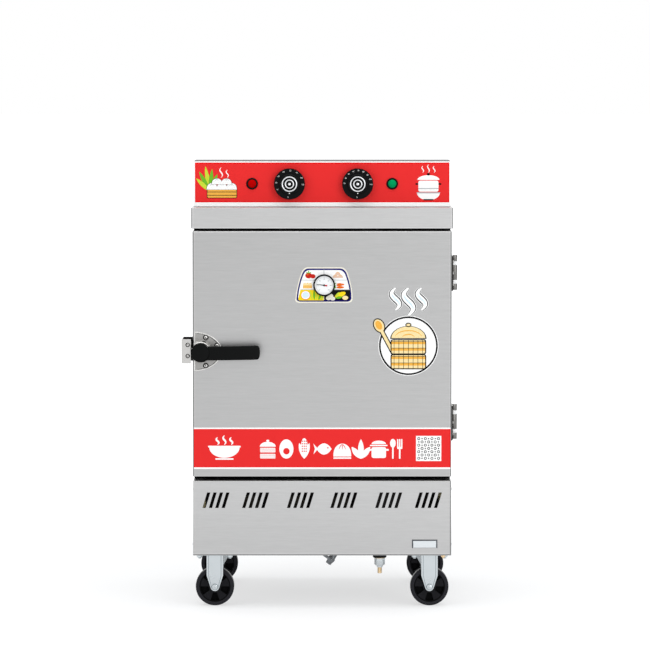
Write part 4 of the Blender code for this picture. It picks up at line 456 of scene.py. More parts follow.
def oblong(left, low, right, high, radius=0.0):
    """Outline of a rectangle with rounded corners."""
    if not radius:
        return [(left, low), (right, low), (right, high), (left, high)]
    corners = ((right, low, -pi / 2), (right, high, 0.0), (left, high, pi / 2), (left, low, pi))
    outline = []
    for x, z, start in corners:
        cx = x - radius if x == right else x + radius
        cz = z - radius if z == high else z + radius
        for i in range(5):
            a = start + pi / 2 * i / 4
            outline.append((cx + radius * cos(a), cz + radius * sin(a)))
    return outline


def bar(x, half, low, high, radius=0.0):
    """Outline of a rectangle centred on x."""
    return oblong(x - half, low, x + half, high, radius)


def placed(points, x, z, turn=0.0):
    """Points turned about the origin and set at a place."""
    return [(x + p * cos(turn) - q * sin(turn), z + p * sin(turn) + q * cos(turn)) for p, q in points]


def oval(x, z, wide, high, turn=0.0, steps=28):
    """Outline of an ellipse by its half sizes, turned by an angle."""
    angles = [2 * pi * i / steps for i in range(steps)]
    return placed([(wide * cos(a), high * sin(a)) for a in angles], x, z, turn)


def disc(x, z, radius, steps=28):
    """Outline of a circle."""
    return oval(x, z, radius, radius, steps=steps)


def leaf(x, z, length, width, turn):
    """Outline of a pointed leaf from its stalk end at a point, turned by degrees."""
    shares = [i / 8 for i in range(9)]
    right = [(length * t, width / 2 * sin(pi * t) ** 0.8) for t in shares]
    left = [(length * t, -width / 2 * sin(pi * t) ** 0.8) for t in shares[7:0:-1]]
    return placed(right + left, x, z, radians(turn))


def stroke(path, width):
    """Outline of a brush stroke along a path, thinner at its ends."""
    left, right = [], []
    for i, (x, z) in enumerate(path):
        before, after = path[max(i - 1, 0)], path[min(i + 1, len(path) - 1)]
        dx, dz = after[0] - before[0], after[1] - before[1]
        half = width / 2 / hypot(dx, dz) * (0.35 + 0.65 * sin(pi * i / (len(path) - 1)))
        left.append((x - dz * half, z + dx * half))
        right.append((x + dz * half, z - dx * half))
    return left + right[::-1]


def vapour(x, z, height, sway, steps=12):
    """Path of one curl of steam."""
    return [(x + sway * sin(2 * pi * i / steps), z + height * i / steps) for i in range(steps + 1)]


def arch(x, z, wide, high, steps=16):
    """Outline of half an ellipse on its level side; it hangs, as a bowl, if high is below 0."""
    return [(x + wide * cos(pi * i / steps), z + high * sin(pi * i / steps)) for i in range(steps + 1)]


def basket(x, z, wide, high, layer, body_ink, line_ink):
    """A round bamboo steaming basket from the side: a drum with two hoops."""
    drum = bar(x, wide * 0.96, z + high * 0.07, z + high * 0.93, high * 0.12)
    hoops = [bar(x, wide * 0.96, z + high * share, z + high * (share + 0.07)) for share in (0.30, 0.66)]
    return [
        (bar(x, wide, z, z + high, high * 0.16), layer, line_ink), (drum, layer + 1, body_ink),
        *((hoop, layer + 2, line_ink) for hoop in hoops),
    ]


def bun(x, z, wide, high, layer, body_ink, line_ink):
    """A steamed bun: a flat-bottomed dome with pleats from its top."""
    dome = [(x + wide * cos(pi * i / 20), z + high * sin(pi * i / 20) ** 0.8) for i in range(21)]
    shapes = [(dome, layer, body_ink)]
    for turn in (-0.5, 0.0, 0.5):
        lean = wide * 0.75 * turn
        pleat = [(x + lean * t, z + high * (0.94 - 0.38 * t * t)) for t in (0.0, 0.33, 0.66, 1.0)]
        shapes.append((stroke(pleat, wide * 0.09), layer + 1, line_ink))
    return shapes


housing_low, housing_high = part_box("control_housing")
face = housing_low.y
housing_steel = brushed_sheet("brushed stainless of the housing", "#B8B8B8", 0.30)
# the roof's top faces are darker and rougher as painted shade, so the roof's edge stays grey against the
# white room
roof_shade_paint = brushed_sheet("housing roof stainless darkened as painted shade", "#6E6E6E", 0.8)
housing = softened("control_housing", sheet_edge)
for part in housing.faces:
    on_top = part.calc_center_median().z > housing_high.z - 0.001
    part.material_index = int(part.normal.z > 0.7 and on_top)
piece("housing", housing, housing_steel, roof_shade_paint, slot="stainless", stands_for=["control_housing"])
film = bmesh.new()
printed(
    film, face,
    (bar(middle, 0.3375, housing_low.z + 0.0008, housing_high.z - 0.0018), 2, WHITE),
    (bar(middle, 0.3350, 1.0683, 1.1733), 3, DEEP_RED),
    (bar(middle, 0.3322, 1.0711, 1.1702), 4, RED),
)
# left corner: five buns on a basket with bamboo leaves
x, z = middle - 0.270, 1.079
for turn, length, green in (
    (118, 0.060, LEAF), (100, 0.068, LIME), (84, 0.060, LEAF), (136, 0.050, LIME), (66, 0.050, LEAF),
):
    printed(film, face, (leaf(x - 0.026, z + 0.018, length, 0.011, turn), 6, green))
printed(film, face, *basket(x + 0.006, z, 0.040, 0.024, 7, BAMBOO, BLACK))
for shift, rise, layer, wide, high in (
    (-0.020, 0.0225, 9, 0.0150, 0.0185), (0.006, 0.0225, 9, 0.0150, 0.0185),
    (0.031, 0.0225, 9, 0.0150, 0.0185), (-0.007, 0.0365, 13, 0.0145, 0.0165),
    (0.018, 0.0365, 13, 0.0145, 0.0165),
):
    inside = high - 0.0013
    printed(film, face, *bun(x + shift, z + rise, wide, high, layer, BLACK, BLACK))
    printed(film, face, *bun(x + shift, z + rise + 0.0005, wide - 0.0010, inside, layer + 2, WHITE, GREY))
printed(
    film, face,
    (stroke(vapour(x + 0.004, z + 0.055, 0.026, 0.0035), 0.0032), 6, WHITE),
    (stroke(vapour(x + 0.020, z + 0.055, 0.020, 0.0030), 0.0028), 6, WHITE),
)
# right corner: a lidded pot with steam over two stacked bowls
x, z = middle + 0.280, 1.0735
printed(
    film, face,
    (arch(x, z + 0.020, 0.030, -0.0195), 6, WHITE),
    (bar(x, 0.013, z, z + 0.0035), 7, BLACK),
    (bar(x, 0.031, z + 0.0185, z + 0.0215, 0.0014), 7, GREY),
    (bar(x, 0.0265, z + 0.023, z + 0.052, 0.005), 6, WHITE),
    (bar(x, 0.0265, z + 0.030, z + 0.0325), 7, GREY),
    (oblong(x - 0.034, z + 0.041, x - 0.0265, z + 0.0455, 0.0015), 6, BLACK),
    (oblong(x + 0.0265, z + 0.041, x + 0.034, z + 0.0455, 0.0015), 6, BLACK),
    (arch(x, z + 0.054, 0.029, 0.0125), 6, WHITE),
    (oval(x, z + 0.069, 0.0042, 0.0034), 7, BLACK),
    *((stroke(vapour(x + shift, z + 0.0735, height, 0.0024), 0.0028), 6, WHITE)
      for shift, height in ((-0.015, 0.017), (0.0, 0.021), (0.015, 0.017))),
)
piece("control_film", film, *films, broad=1e-9)


# Timer and thermostat: round scale plates of black phenolic with printed white marks, each
# pressed over a bush. The knobs have bright turned rings and a white index dot.
def moulded(name, tone, roughness, grain):
    """Moulded plastic, whose fine spark-eroded skin takes the gloss off; grain is its size
    in metres."""
    plastic, tree, place = bare_finish(name, {"IOR": 1.5, "Specular IOR Level": 0.07})
    skin = put(tree, "ShaderNodeTexNoise", {"Vector": place, "Scale": 1.0 / grain, "Detail": 2.0})
    patterned(
        tree, skin.outputs[0], (linear(tone), shade(tone, 1.2, 0.0006)),
        gloss=(roughness - 0.06, roughness + 0.06), relief=(0.08, 0.0002),
    )
    return plastic


def numeral(bm, text, x, panel, z, height, ink):
    """A plain number facing the front, its middle at a point."""
    words = bpy.data.curves.new("numeral", "FONT")
    words.body = text
    words.size = height
    words.align_x = "CENTER"
    words.align_y = "CENTER"
    words.extrude = 0.00004
    carrier = bpy.data.objects.new("numeral", words)
    bpy.context.scene.collection.objects.link(carrier)
    bpy.context.view_layer.update()
    evaluated = carrier.evaluated_get(bpy.context.evaluated_depsgraph_get())
    flat = bpy.data.meshes.new_from_object(evaluated)
    before = set(bm.verts)
    bm.from_mesh(flat)
    added = [v for v in bm.verts if v not in before]
    bmesh.ops.transform(bm, matrix=facing("front", (x, panel, z)), verts=added)
    for part in {f for v in added for f in v.link_faces}:
        part.material_index = ink
    bpy.data.objects.remove(carrier)
    bpy.data.meshes.remove(flat)


phenolic = moulded("black phenolic", "#08090A", 0.34, 0.0012)
white_ink = vinyl("white screen ink", "#EDEDEA", 0.5)
chrome_ring = bright_metal("bright anodised ring", "#D6D8DA", 0.22, 0.01)
scale_profile = [
    (0.0262, 0.0), (0.0262, 0.00035), (0.0268, 0.0006), (0.0398, 0.0006), (0.0409, 0.0001), (0.0409, 0.0),
]
knob_face = 0.0262
knob_profile = [
    (0, 0.0015), (0.0262, 0.0015), (0.0262, 0), (0.0268, 0.0003), (0.02725, 0.0012),
    (0.0271, 0.0225), (0.0264, 0.0250), (0.0252, knob_face), (0.0236, knob_face),
    (0.0224, 0.0256), (0.0215, 0.0256), (0.0209, 0.0264), (0, 0.0264),
]
ring_top, ring_edge = 0.0270, 0.0004
number_ring, number_height = 0.0350, 0.0050
# each mark is a number and its angle in degrees
timer_marks = [("0", 264)] + [(str(15 * (i + 1)), 205 - 29.7 * i) for i in range(8)]
thermostat_marks = [("0", 267)] + [(str(30 + 10 * i), 177 - 22.4 * i) for i in range(9)]
for name, marks in (("timer", timer_marks), ("thermostat", thermostat_marks)):
    knob = f"{name}_knob"
    low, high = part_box(knob)
    x, z = (low.x + high.x) / 2, (low.z + high.z) / 2
    works = softened(name, 0.0002)
    piece(f"{name}_works", works, phenolic, slot="black_plastic", stands_for=[name], broad=2e-3)
    scale = bmesh.new()
    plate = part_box(name)[0].y
    spun(scale, scale_profile, facing("front", (x, plate, z)), 72, 0, closed=True)
    for text, angle in marks:
        a = radians(angle)
        at = (x + number_ring * cos(a), plate - 0.00062, z + number_ring * sin(a))
        numeral(scale, text, *at, number_height, 1)
    piece(f"{name}_scale", scale, phenolic, white_ink, slot="black_plastic", broad=1e-9)
    turned = bmesh.new()
    back = high.y
    at = facing("front", (x, back, z))
    spun(turned, knob_profile, at, 72)
    for inner, outer in ((0.0173, 0.0203), (0.0092, 0.0121)):
        spun(turned, [
            (inner, knob_face), (outer, knob_face), (outer, ring_top - ring_edge),
            (outer - ring_edge, ring_top), (inner + ring_edge, ring_top), (inner, ring_top - ring_edge),
        ], at, 64, 1, closed=True)
    pin = 0.0036
    spun(turned, [
        (0.0, knob_face), (pin, knob_face), (pin, ring_top - ring_edge),
        (pin - ring_edge, ring_top), (0, ring_top),
    ], at, 64, 1)
    dot = [(0, knob_face), (0.0015, knob_face), (0.0015, 0.0265), (0, 0.0265)]
    spun(turned, dot, facing("front", (x, back, z - 0.0244)), 20, 2)
    piece(
        f"{name}_knob_turned", turned, phenolic, chrome_ring, white_ink, body=f"{name}_control",
        slot="black_plastic", stands_for=[knob], broad=1e-3,
    )


# Pilot lamps: a black bezel round a moulded lens, red for heating and green for power,
# pushed through the housing with the barrel behind it.
def lens_plastic(name, tone, core):
    """Clear tinted plastic over a small lamp, which looks deep and even in colour: darker
    at its core, with ribs 3.1 mm apart, as a wave of scale 1 repeats every 314 mm."""
    values = {"Roughness": 0.3, "IOR": 1.49, "Specular IOR Level": 0.02}
    lens, tree, place = bare_finish(name, values)
    ribs = put(
        tree, "ShaderNodeTexWave", {"Vector": place, "Scale": 100.0, "Distortion": 0.0},
        wave_type="BANDS", bands_direction="X",
    )
    patterned(tree, ribs.outputs[0], (linear(tone), linear(core)), relief=(0.15, 0.0004))
    return lens


bezel = [
    (0.0109, 0.0003), (0.0152, 0.0003), (0.0155, 0.0008), (0.0152, 0.0026),
    (0.0142, 0.0034), (0.0118, 0.0036), (0.0109, 0.0028),
]
barrel_back, barrel_radius = -0.032, 0.0106
dome_radius, dome_foot, dome_rise = 0.01085, 0.0032, 0.0056
for name, tone, core, slot in (
    ("lamp_red", "#C40000", "#960000", "red_lens"), ("lamp_green", "#00A060", "#00844C", "green_lens"),
):
    low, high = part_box(name)
    x, z = (low.x + high.x) / 2, (low.z + high.z) / 2
    at = facing("front", (x, face, z))
    lamp = bmesh.new()
    spun(lamp, bezel, at, 56, 0, closed=True)
    lamp_barrel = [(0, barrel_back), (barrel_radius, barrel_back), (barrel_radius, 0.0003), (0, 0.0003)]
    spun(lamp, lamp_barrel, at, 40, 0)
    dome = [(0, 0.0004), (dome_radius, 0.0004), (dome_radius, dome_foot)]
    for a in (pi / 2 * i / 8 for i in range(1, 9)):
        dome.append((dome_radius * cos(a), dome_foot + dome_rise * sin(a)))
    spun(lamp, dome, at, 56, 1)
    lens = lens_plastic(f"{name} plastic", tone, core)
    piece(f"{name}_lens", lamp, phenolic, lens, slot=slot, stands_for=[name], broad=1e-3)

# Door: outer skin folded from one brushed sheet and inner skin pressed into it, with foam
# between them. A red film band with a white edge runs along its foot.
door_steel = brushed_sheet("brushed stainless of the door", "#ABABAB", 0.33)
edges = (("X", door_low.x, 1.0), ("X", door_high.x, -1.0))
# painted highlights along the door's top, foot and sides, with painted shade lines at the outer edge of each
# side
paint_fold_light(door_steel, front, 0.0030, 1.45, ("Z", door_high.z, -1.0))
paint_fold_light(door_steel, front, 0.0030, 1.25, ("Z", door_low.z, 1.0))
paint_fold_light(door_steel, front, 0.0056, 1.12, *edges)
paint_fold_light(door_steel, front, 0.0034, 0.45, *edges)
resurfaced("door_skin", "door_outer", lid_edge, door_steel, body="door")
resurfaced("door_lining", "door_inner", sheet_edge, back_steel, body="door")
band = bmesh.new()
band_half = 0.3374
printed(
    band, front,
    (bar(middle, band_half, 0.3689, 0.4785), 2, WHITE),
    (bar(middle, band_half, 0.3734, 0.4746), 3, DEEP_RED),
    (bar(middle, band_half - 0.002, 0.3752, 0.4728), 4, RED),
)
# a steaming bowl on a saucer at the left end
x, z = middle - 0.257, 0.3935
printed(
    band, front,
    (arch(x, z + 0.033, 0.040, -0.028), 6, WHITE),
    (bar(x, 0.043, z + 0.0325, z + 0.037, 0.002), 6, WHITE),
    (bar(x, 0.024, z, z + 0.004, 0.002), 6, WHITE),
    *((stroke(vapour(x + shift, z + 0.040, height, 0.0035), 0.0052), 6, WHITE)
      for shift, height in ((-0.018, 0.019), (0.0, 0.024), (0.018, 0.019))),
)
# a row of kitchen signs: steamer, egg, corn, fish, bun, leaves, pot, spoon and fork
z = 0.3960
x = middle - 0.143
printed(
    band, front,
    *basket(x, z, 0.021, 0.014, 6, WHITE, RED),
    *basket(x, z + 0.016, 0.021, 0.014, 6, WHITE, RED),
    (arch(x, z + 0.032, 0.021, 0.013, 14), 6, WHITE),
    (oval(x, z + 0.0475, 0.004, 0.003), 6, WHITE),
)
x += 0.049
printed(
    band, front,
    (oval(x, z + 0.026, 0.0185, 0.0255), 6, WHITE),
    (disc(x, z + 0.020, 0.0085), 7, RED),
)
x += 0.047
printed(
    band, front,
    *((leaf(x, z, 0.044, 0.012, turn), 6, WHITE) for turn in (72, 108)),
    (oval(x, z + 0.033, 0.0088, 0.0215), 8, WHITE),
    *((oval(x + column * 0.0050, z + 0.020 + row * 0.0066, 0.0016, 0.0020, steps=10), 9, RED)
      for row in range(5) for column in (-1, 0, 1)),
)
x += 0.049
tail = [(x - 0.013, z + 0.026), (x - 0.025, z + 0.040), (x - 0.021, z + 0.026), (x - 0.025, z + 0.012)]
printed(
    band, front,
    (leaf(x + 0.023, z + 0.026, 0.040, 0.030, 180), 6, WHITE),
    (tail, 7, WHITE),
    (disc(x + 0.013, z + 0.029, 0.0020, 12), 8, RED),
)
x += 0.051
printed(
    band, front,
    *bun(x, z + 0.006, 0.0235, 0.034, 6, WHITE, RED),
    (bar(x, 0.0235, z, z + 0.004, 0.0015), 6, WHITE),
)
x += 0.049
for turn, length in ((90, 0.052), (52, 0.040), (128, 0.040)):
    printed(band, front, (leaf(x, z, length, 0.015, turn), 6, WHITE))
x += 0.047
printed(
    band, front,
    (bar(x, 0.019, z + 0.002, z + 0.031, 0.005), 6, WHITE),
    (bar(x, 0.023, z + 0.0335, z + 0.037, 0.0015), 6, WHITE),
    (arch(x, z + 0.039, 0.019, 0.009, 14), 6, WHITE),
    (oblong(x - 0.026, z + 0.021, x - 0.019, z + 0.026, 0.001), 7, WHITE),
    (oblong(x + 0.019, z + 0.021, x + 0.026, z + 0.026, 0.001), 7, WHITE),
)
x += 0.045
printed(
    band, front,
    (oval(x - 0.008, z + 0.041, 0.0075, 0.0115), 6, WHITE),
    (oblong(x - 0.0100, z, x - 0.0060, z + 0.034, 0.0015), 7, WHITE),
    (oblong(x + 0.0080, z, x + 0.0120, z + 0.030, 0.0015), 6, WHITE),
    (oblong(x + 0.0030, z + 0.026, x + 0.0170, z + 0.032, 0.002), 7, WHITE),
    *((oblong(x + shift, z + 0.030, x + shift + 0.0034, z + 0.052, 0.0010), 8, WHITE)
      for shift in (0.0030, 0.0083, 0.0136)),
)
# a square tile pattern of rings and dots at the right end
x0, z0, side, margin = middle + 0.2467, 0.3900, 0.0666, 0.003
printed(band, front, (oblong(x0, z0, x0 + side, z0 + side), 6, WHITE))
pitch = (side - 2 * margin) / 7
for row in range(7):
    for column in range(7):
        cx, cz = x0 + margin + pitch * (column + 0.5), z0 + margin + pitch * (row + 0.5)
        if (row + column) % 2:
            printed(band, front, (disc(cx, cz, pitch * 0.20, 12), 7, BLACK))
        else:
            ring, hole = disc(cx, cz, pitch * 0.44, 16), disc(cx, cz, pitch * 0.24, 12)
            printed(band, front, (ring, 7, BLACK), (hole, 8, WHITE))
piece("door_band", band, *films, body="door", broad=1e-9)

# Round sticker: printed film cut to the outline of its picture, a stack of bamboo baskets
# in a black ring with steam that rises past the ring and a wooden spoon at its left.
sticker = bmesh.new()
x, z = middle + 0.2264, 0.6943
for radius, layer, ink in ((0.0790, 2, WHITE), (0.0772, 3, BLACK), (0.0726, 4, WHITE)):
    printed(sticker, front, (disc(x, z, radius, 72), layer, ink))
for shift, rise, sway, wide in (
    (-0.034, 0.058, 0.010, 0.013), (0.000, 0.072, 0.012, 0.015), (0.034, 0.058, 0.010, 0.013),
):
    curl = vapour(x + shift, z + 0.152 - rise, rise, sway, 28)
    printed(
        sticker, front,
        (stroke(curl, wide + 0.0088), 5, WHITE),
        (stroke(curl, wide + 0.0056), 6, BLACK),
        (stroke(curl, wide), 7, WHITE),
        (stroke(curl[6:22], wide * 0.30), 8, SKY),
    )
# the spoon: its straight handle and its bowl, a black edge under the wood
spoon_turn, handle_length = radians(-62), 0.085
for grow, layer, ink in ((0.0028, 9, BLACK), (0.0, 10, STRAW)):
    half = 0.0038 + grow
    handle = [(0, half), (0, -half), (handle_length, -half), (handle_length, half)]
    printed(
        sticker, front,
        (placed(handle, x - 0.0720, z + 0.042, spoon_turn), layer, ink),
        (oval(x - 0.0770, z + 0.053, 0.0122 + grow, 0.0175 + grow, radians(28)), layer, ink),
    )
printed(sticker, front, (oval(x - 0.0778, z + 0.054, 0.0080, 0.0125, radians(28)), 11, BAMBOO))
half, rim = 0.0440, 0.0028
for low, high in ((-0.060, -0.024), (-0.021, 0.015)):
    base = z + low
    printed(
        sticker, front,
        (bar(x, half + rim, base - 0.0020, z + high + 0.0020, 0.006), 12, BLACK),
        (bar(x, half, base + 0.0008, z + high - 0.0008, 0.004), 13, STRAW),
    )
    for share in (0.22, 0.70):
        level = base + share * (high - low)
        printed(
            sticker, front,
            (bar(x, half, level, level + 0.0068), 14, BAMBOO),
            (bar(x, half, level + 0.0062, level + 0.0074), 15, BLACK),
        )
    for column in range(-3, 4):
        cane = bar(x + column * 0.0125, 0.0006, base + 0.0008, z + high - 0.0008)
        printed(sticker, front, (cane, 15, BLACK))
printed(
    sticker, front,
    (arch(x, z + 0.018, 0.0475, 0.034, 28), 12, BLACK),
    (arch(x, z + 0.0202, 0.0475 * 0.935, 0.034 * 0.90, 28), 13, STRAW),
    *((stroke(arch(x, z + 0.0215, 0.0530 * share, 0.028 * share)[1:-1], 0.0028), 14, BAMBOO)
      for share in (0.30, 0.66)),
    (oval(x, z + 0.0548, 0.0080, 0.0058), 14, BLACK),
    (oval(x, z + 0.0548, 0.0054, 0.0032), 15, STRAW),
)
piece("door_sticker", sticker, *films, body="door", broad=1e-9)

# Label round the thermometer: film with a cream margin, a navy line and grey dividers, and
# small plain pictures of food in its cells.
label = bmesh.new()
label_middle = 0.0046
x, z = middle + label_middle, 0.8540
label_outline = [
    (-0.0589, 0.8103), (0.0672, 0.8103), (0.0735, 0.8127), (0.0766, 0.8180), (0.0764, 0.8315),
    (0.0739, 0.8502), (0.0699, 0.8663), (0.0645, 0.8838), (0.0615, 0.8893), (0.0578, 0.8932),
    (0.0536, 0.8962), (0.0484, 0.8975), (-0.0375, 0.8975), (-0.0425, 0.8960), (-0.0478, 0.8920),
    (-0.0522, 0.8838), (-0.0576, 0.8690), (-0.0616, 0.8529), (-0.0650, 0.8370), (-0.0673, 0.8167),
    (-0.0650, 0.8125),
]
label_films = films + [vinyl(name, tone) for name, tone in (
    ("cream film", "#E9E5D6"), ("tomato red film", "#C2271B"), ("corn yellow film", "#F3D51C"),
    ("pale rose film", "#E3BFA8"),
)]
CREAM, TOMATO, CORN, ROSE = range(12, 16)
for grow_x, grow_z, layer, ink in ((1.045, 1.075, 2, CREAM), (1.0, 1.0, 3, NAVY), (0.942, 0.904, 4, WHITE)):
    grown = [(x + (px - label_middle) * grow_x, z + (pz - z) * grow_z) for px, pz in label_outline]
    printed(label, front, (grown, layer, ink))
cell_low, cell_high = 0.8136, 0.8415
yellow_cell = [
    (x - 0.0675, cell_low + 0.003), (x - 0.0640, cell_low), (x - 0.0005, cell_low),
    (x - 0.0005, cell_high), (x - 0.0615, cell_high),
]
black_cell = [
    (x + 0.0005, cell_low), (x + 0.0640, cell_low), (x + 0.0680, cell_low + 0.003),
    (x + 0.0690, cell_high), (x + 0.0005, cell_high),
]
printed(label, front, (yellow_cell, 5, CORN), (black_cell, 5, BLACK))
for left, low, right, high in (
    (-0.0590, 0.8663, -0.0240, 0.8677), (0.0250, 0.8663, 0.0600, 0.8677), (-0.0005, 0.8800, 0.0009, 0.8945),
    (-0.0620, 0.8412, -0.0240, 0.8426), (0.0260, 0.8412, 0.0680, 0.8426),
):
    printed(label, front, (oblong(x + left, low, x + right, high), 6, GREY))
# tomato with leaves, and pale dumplings
printed(
    label, front,
    (oval(x - 0.0400, 0.8790, 0.0090, 0.0075), 6, TOMATO),
    (oval(x - 0.0290, 0.8770, 0.0070, 0.0058), 7, TOMATO),
    *((leaf(x - 0.0400, 0.8850, 0.0075, 0.0026, turn), 8, LEAF) for turn in (20, 90, 160)),
    (oval(x - 0.0425, 0.8812, 0.0022, 0.0016), 8, ORANGE),
    *bun(x + 0.0300, 0.8730, 0.0070, 0.0085, 6, ROSE, BAMBOO),
    *bun(x + 0.0430, 0.8730, 0.0070, 0.0085, 6, ROSE, BAMBOO),
    *bun(x + 0.0365, 0.8800, 0.0070, 0.0085, 6, ROSE, BAMBOO),
)
# basket of rolls, and carrots
printed(label, front, *basket(x - 0.0430, 0.8450, 0.0120, 0.0085, 6, BAMBOO, STRAW))
for shift in (-0.0500, -0.0430, -0.0360):
    printed(label, front, *bun(x + shift, 0.8535, 0.0050, 0.0062, 8, STRAW, BAMBOO))
for height, turn in ((0.8520, 12), (0.8570, -6), (0.8475, 2)):
    printed(
        label, front,
        (leaf(x + 0.0320, height, 0.0225, 0.0062, turn), 6, ORANGE),
        (leaf(x + 0.0320, height, -0.0060, 0.0040, turn), 7, LEAF),
    )
# rice bowl between greens on yellow, and corn with eggs on black
printed(
    label, front,
    (oval(x - 0.0480, 0.8270, 0.0125, 0.0118), 6, ORANGE),
    (oval(x - 0.0480, 0.8275, 0.0112, 0.0106), 7, WHITE),
    (oval(x - 0.0480, 0.8275, 0.0085, 0.0080), 8, SKY),
    *((leaf(x + shift, 0.8140, length, 0.0058, turn), 6, green) for shift, length, turn, green in (
        (-0.0300, 0.0270, 105, LIME), (-0.0250, 0.0270, 92, LEAF), (-0.0200, 0.0270, 80, LIME),
        (-0.0140, 0.0180, 70, LEAF), (-0.0080, 0.0180, 62, LIME),
    )),
    *((oval(x + shift, height, 0.0068, 0.0052), 6, CREAM)
      for shift, height in ((0.0120, 0.8195), (0.0230, 0.8185), (0.0175, 0.8255))),
    (oval(x + 0.0430, 0.8285, 0.0150, 0.0062, radians(22)), 6, CORN),
    (leaf(x + 0.0300, 0.8200, 0.0190, 0.0060, 8), 7, LEAF),
    (leaf(x + 0.0300, 0.8225, 0.0170, 0.0060, 50), 8, LIME),
    (oval(x + 0.0560, 0.8205, 0.0078, 0.0055), 7, STRAW),
)
piece("food_label", label, *label_films, body="door", broad=1e-9)


# Thermometer: a black moulded case with a white printed dial behind its rim, numbers in
# grey, and a thin grey needle with a red tail on the stem's spindle.
low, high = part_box("thermometer_case")
x, z = (low.x + high.x) / 2, (low.z + high.z) / 2
at = facing("front", (x, front, z))
stem_end, stem = -0.080, 0.0040
dial_front, spindle = 0.0045, 0.0008
case = bmesh.new()
spun(case, [
    (0.0, stem_end), (stem - 0.0003, stem_end), (stem, stem_end + 0.0003), (stem, 0.0003),
    (0.0283, 0.0003), (0.0287, 0.0008), (0.0287, 0.0066), (0.0281, 0.0080), (0.0268, 0.0088),
    (0.0256, 0.0086), (0.0251, 0.0078), (0.0249, 0.0043), (0.0, 0.0043),
], at, 72, 0)
dial = [(spindle, 0.0040), (0.0247, 0.0040), (0.0247, dial_front), (spindle, dial_front)]
spun(case, dial, at, 64, 1, closed=True)
spun(case, [(0.0, 0.0040), (spindle, 0.0040), (spindle, 0.0068), (0.0, 0.0068)], at, 16, 0)
# a mark every 9 degrees; each fifth is long, with its number
marks_end, number_circle = 0.0220, 0.0163
for i in range(31):
    a = radians(225 - 9 * i)
    long = i % 5 == 0
    inner, width = (0.0192, 0.00034) if long else (0.0204, 0.0002)
    tick = [(inner, width), (marks_end, width), (marks_end, -width), (inner, -width)]
    printed(case, front - dial_front, (placed(tick, x, z, a), 1, 2))
    if long:
        spot = (x + number_circle * cos(a), front - 0.00452, z + number_circle * sin(a))
        numeral(case, str(20 * (i // 5)), *spot, 0.0036, 2)
grey_ink = vinyl("grey screen ink", "#555C63", 0.5)
enamel = vinyl("white enamel dial", "#F4F6F6", 0.42)
piece(
    "thermometer_dial", case, phenolic, enamel, grey_ink, body="door", slot="black_plastic",
    stands_for=["thermometer_case"], broad=1e-3,
)
pointer = bmesh.new()
needle_turn = radians(172)
slim = [(0.0, 0.0013), (0.0200, 0.0005), (0.0200, -0.0005), (0.0, -0.0013)]
stub = [(0.0, 0.0014), (-0.0078, 0.0020), (-0.0078, -0.0020), (0.0, -0.0014)]
for ink, part in enumerate((slim, stub)):
    printed(pointer, front - 0.0047, (placed(part, x, z, needle_turn), 12, ink))
hub = [(0.0009, 0.0046), (0.0025, 0.0046), (0.0026, 0.0052), (0.0022, 0.0057), (0.0009, 0.0057)]
spun(pointer, hub, at, 28, 2, closed=True)
needle_grey = bright_metal("needle of grey steel", "#3E4246", 0.4, 0.003)
needle_red = vinyl("red enamel", "#C4122A")
piece(
    "thermometer_pointer", pointer, needle_grey, needle_red, phenolic, body="needle",
    slot="needle_paint", stands_for=["thermometer_needle"], broad=1e-9,
)


# Latch: a cast and polished half-oval base with a raised rim and four screws, a turned boss,
# and a black nylon lever whose round cap hides the spindle's nut.
low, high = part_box("latch_plate")
left, level = low.x, (low.z + high.z) / 2
wide, tall = high.x - low.x, (high.z - low.z) / 2
seat_sink, base_thickness = 0.0003, 0.0032
base = bmesh.new()
half_oval = []
for i in range(41):
    a = -pi / 2 + pi * i / 40
    half_oval.append((left + (wide - 0.0002) * cos(a), level + tall * sin(a)))
sheet_face = base.faces.new([base.verts.new((px, front - seat_sink, pz)) for px, pz in half_oval])
grown = bmesh.ops.extrude_face_region(base, geom=[sheet_face])["geom"]
rising = [v for v in grown if isinstance(v, bmesh.types.BMVert)]
bmesh.ops.translate(base, verts=rising, vec=(0.0, -base_thickness, 0.0))
bmesh.ops.recalc_face_normals(base, faces=base.faces)
top_face = min(base.faces, key=lambda f: f.calc_center_median().y)
bmesh.ops.bevel(
    base, geom=list(top_face.edges), offset=0.0012, segments=3, profile=0.5, affect="EDGES", material=-1,
)
# the rim stands 0.9 mm over the field that it surrounds
top_face = min((f for f in base.faces if len(f.verts) > 20), key=lambda f: f.calc_center_median().y)
bmesh.ops.inset_region(base, faces=[top_face], thickness=0.0032, depth=0.0)
bmesh.ops.inset_region(base, faces=[top_face], thickness=0.0012, depth=-0.0009)
top_face.material_index = 2
pivot = middle - 0.3183
boss_at = facing("front", (pivot, front, level))
spun(base, [
    (0.0066, 0.0010), (0.0276, 0.0010), (0.0292, 0.0026), (0.0292, 0.0036), (0.0284, 0.0044),
    (0.0264, 0.0080), (0.0258, 0.0095), (0.0247, 0.0112), (0.0232, 0.0117), (0.0066, 0.0117),
], boss_at, 72, 0, closed=True)
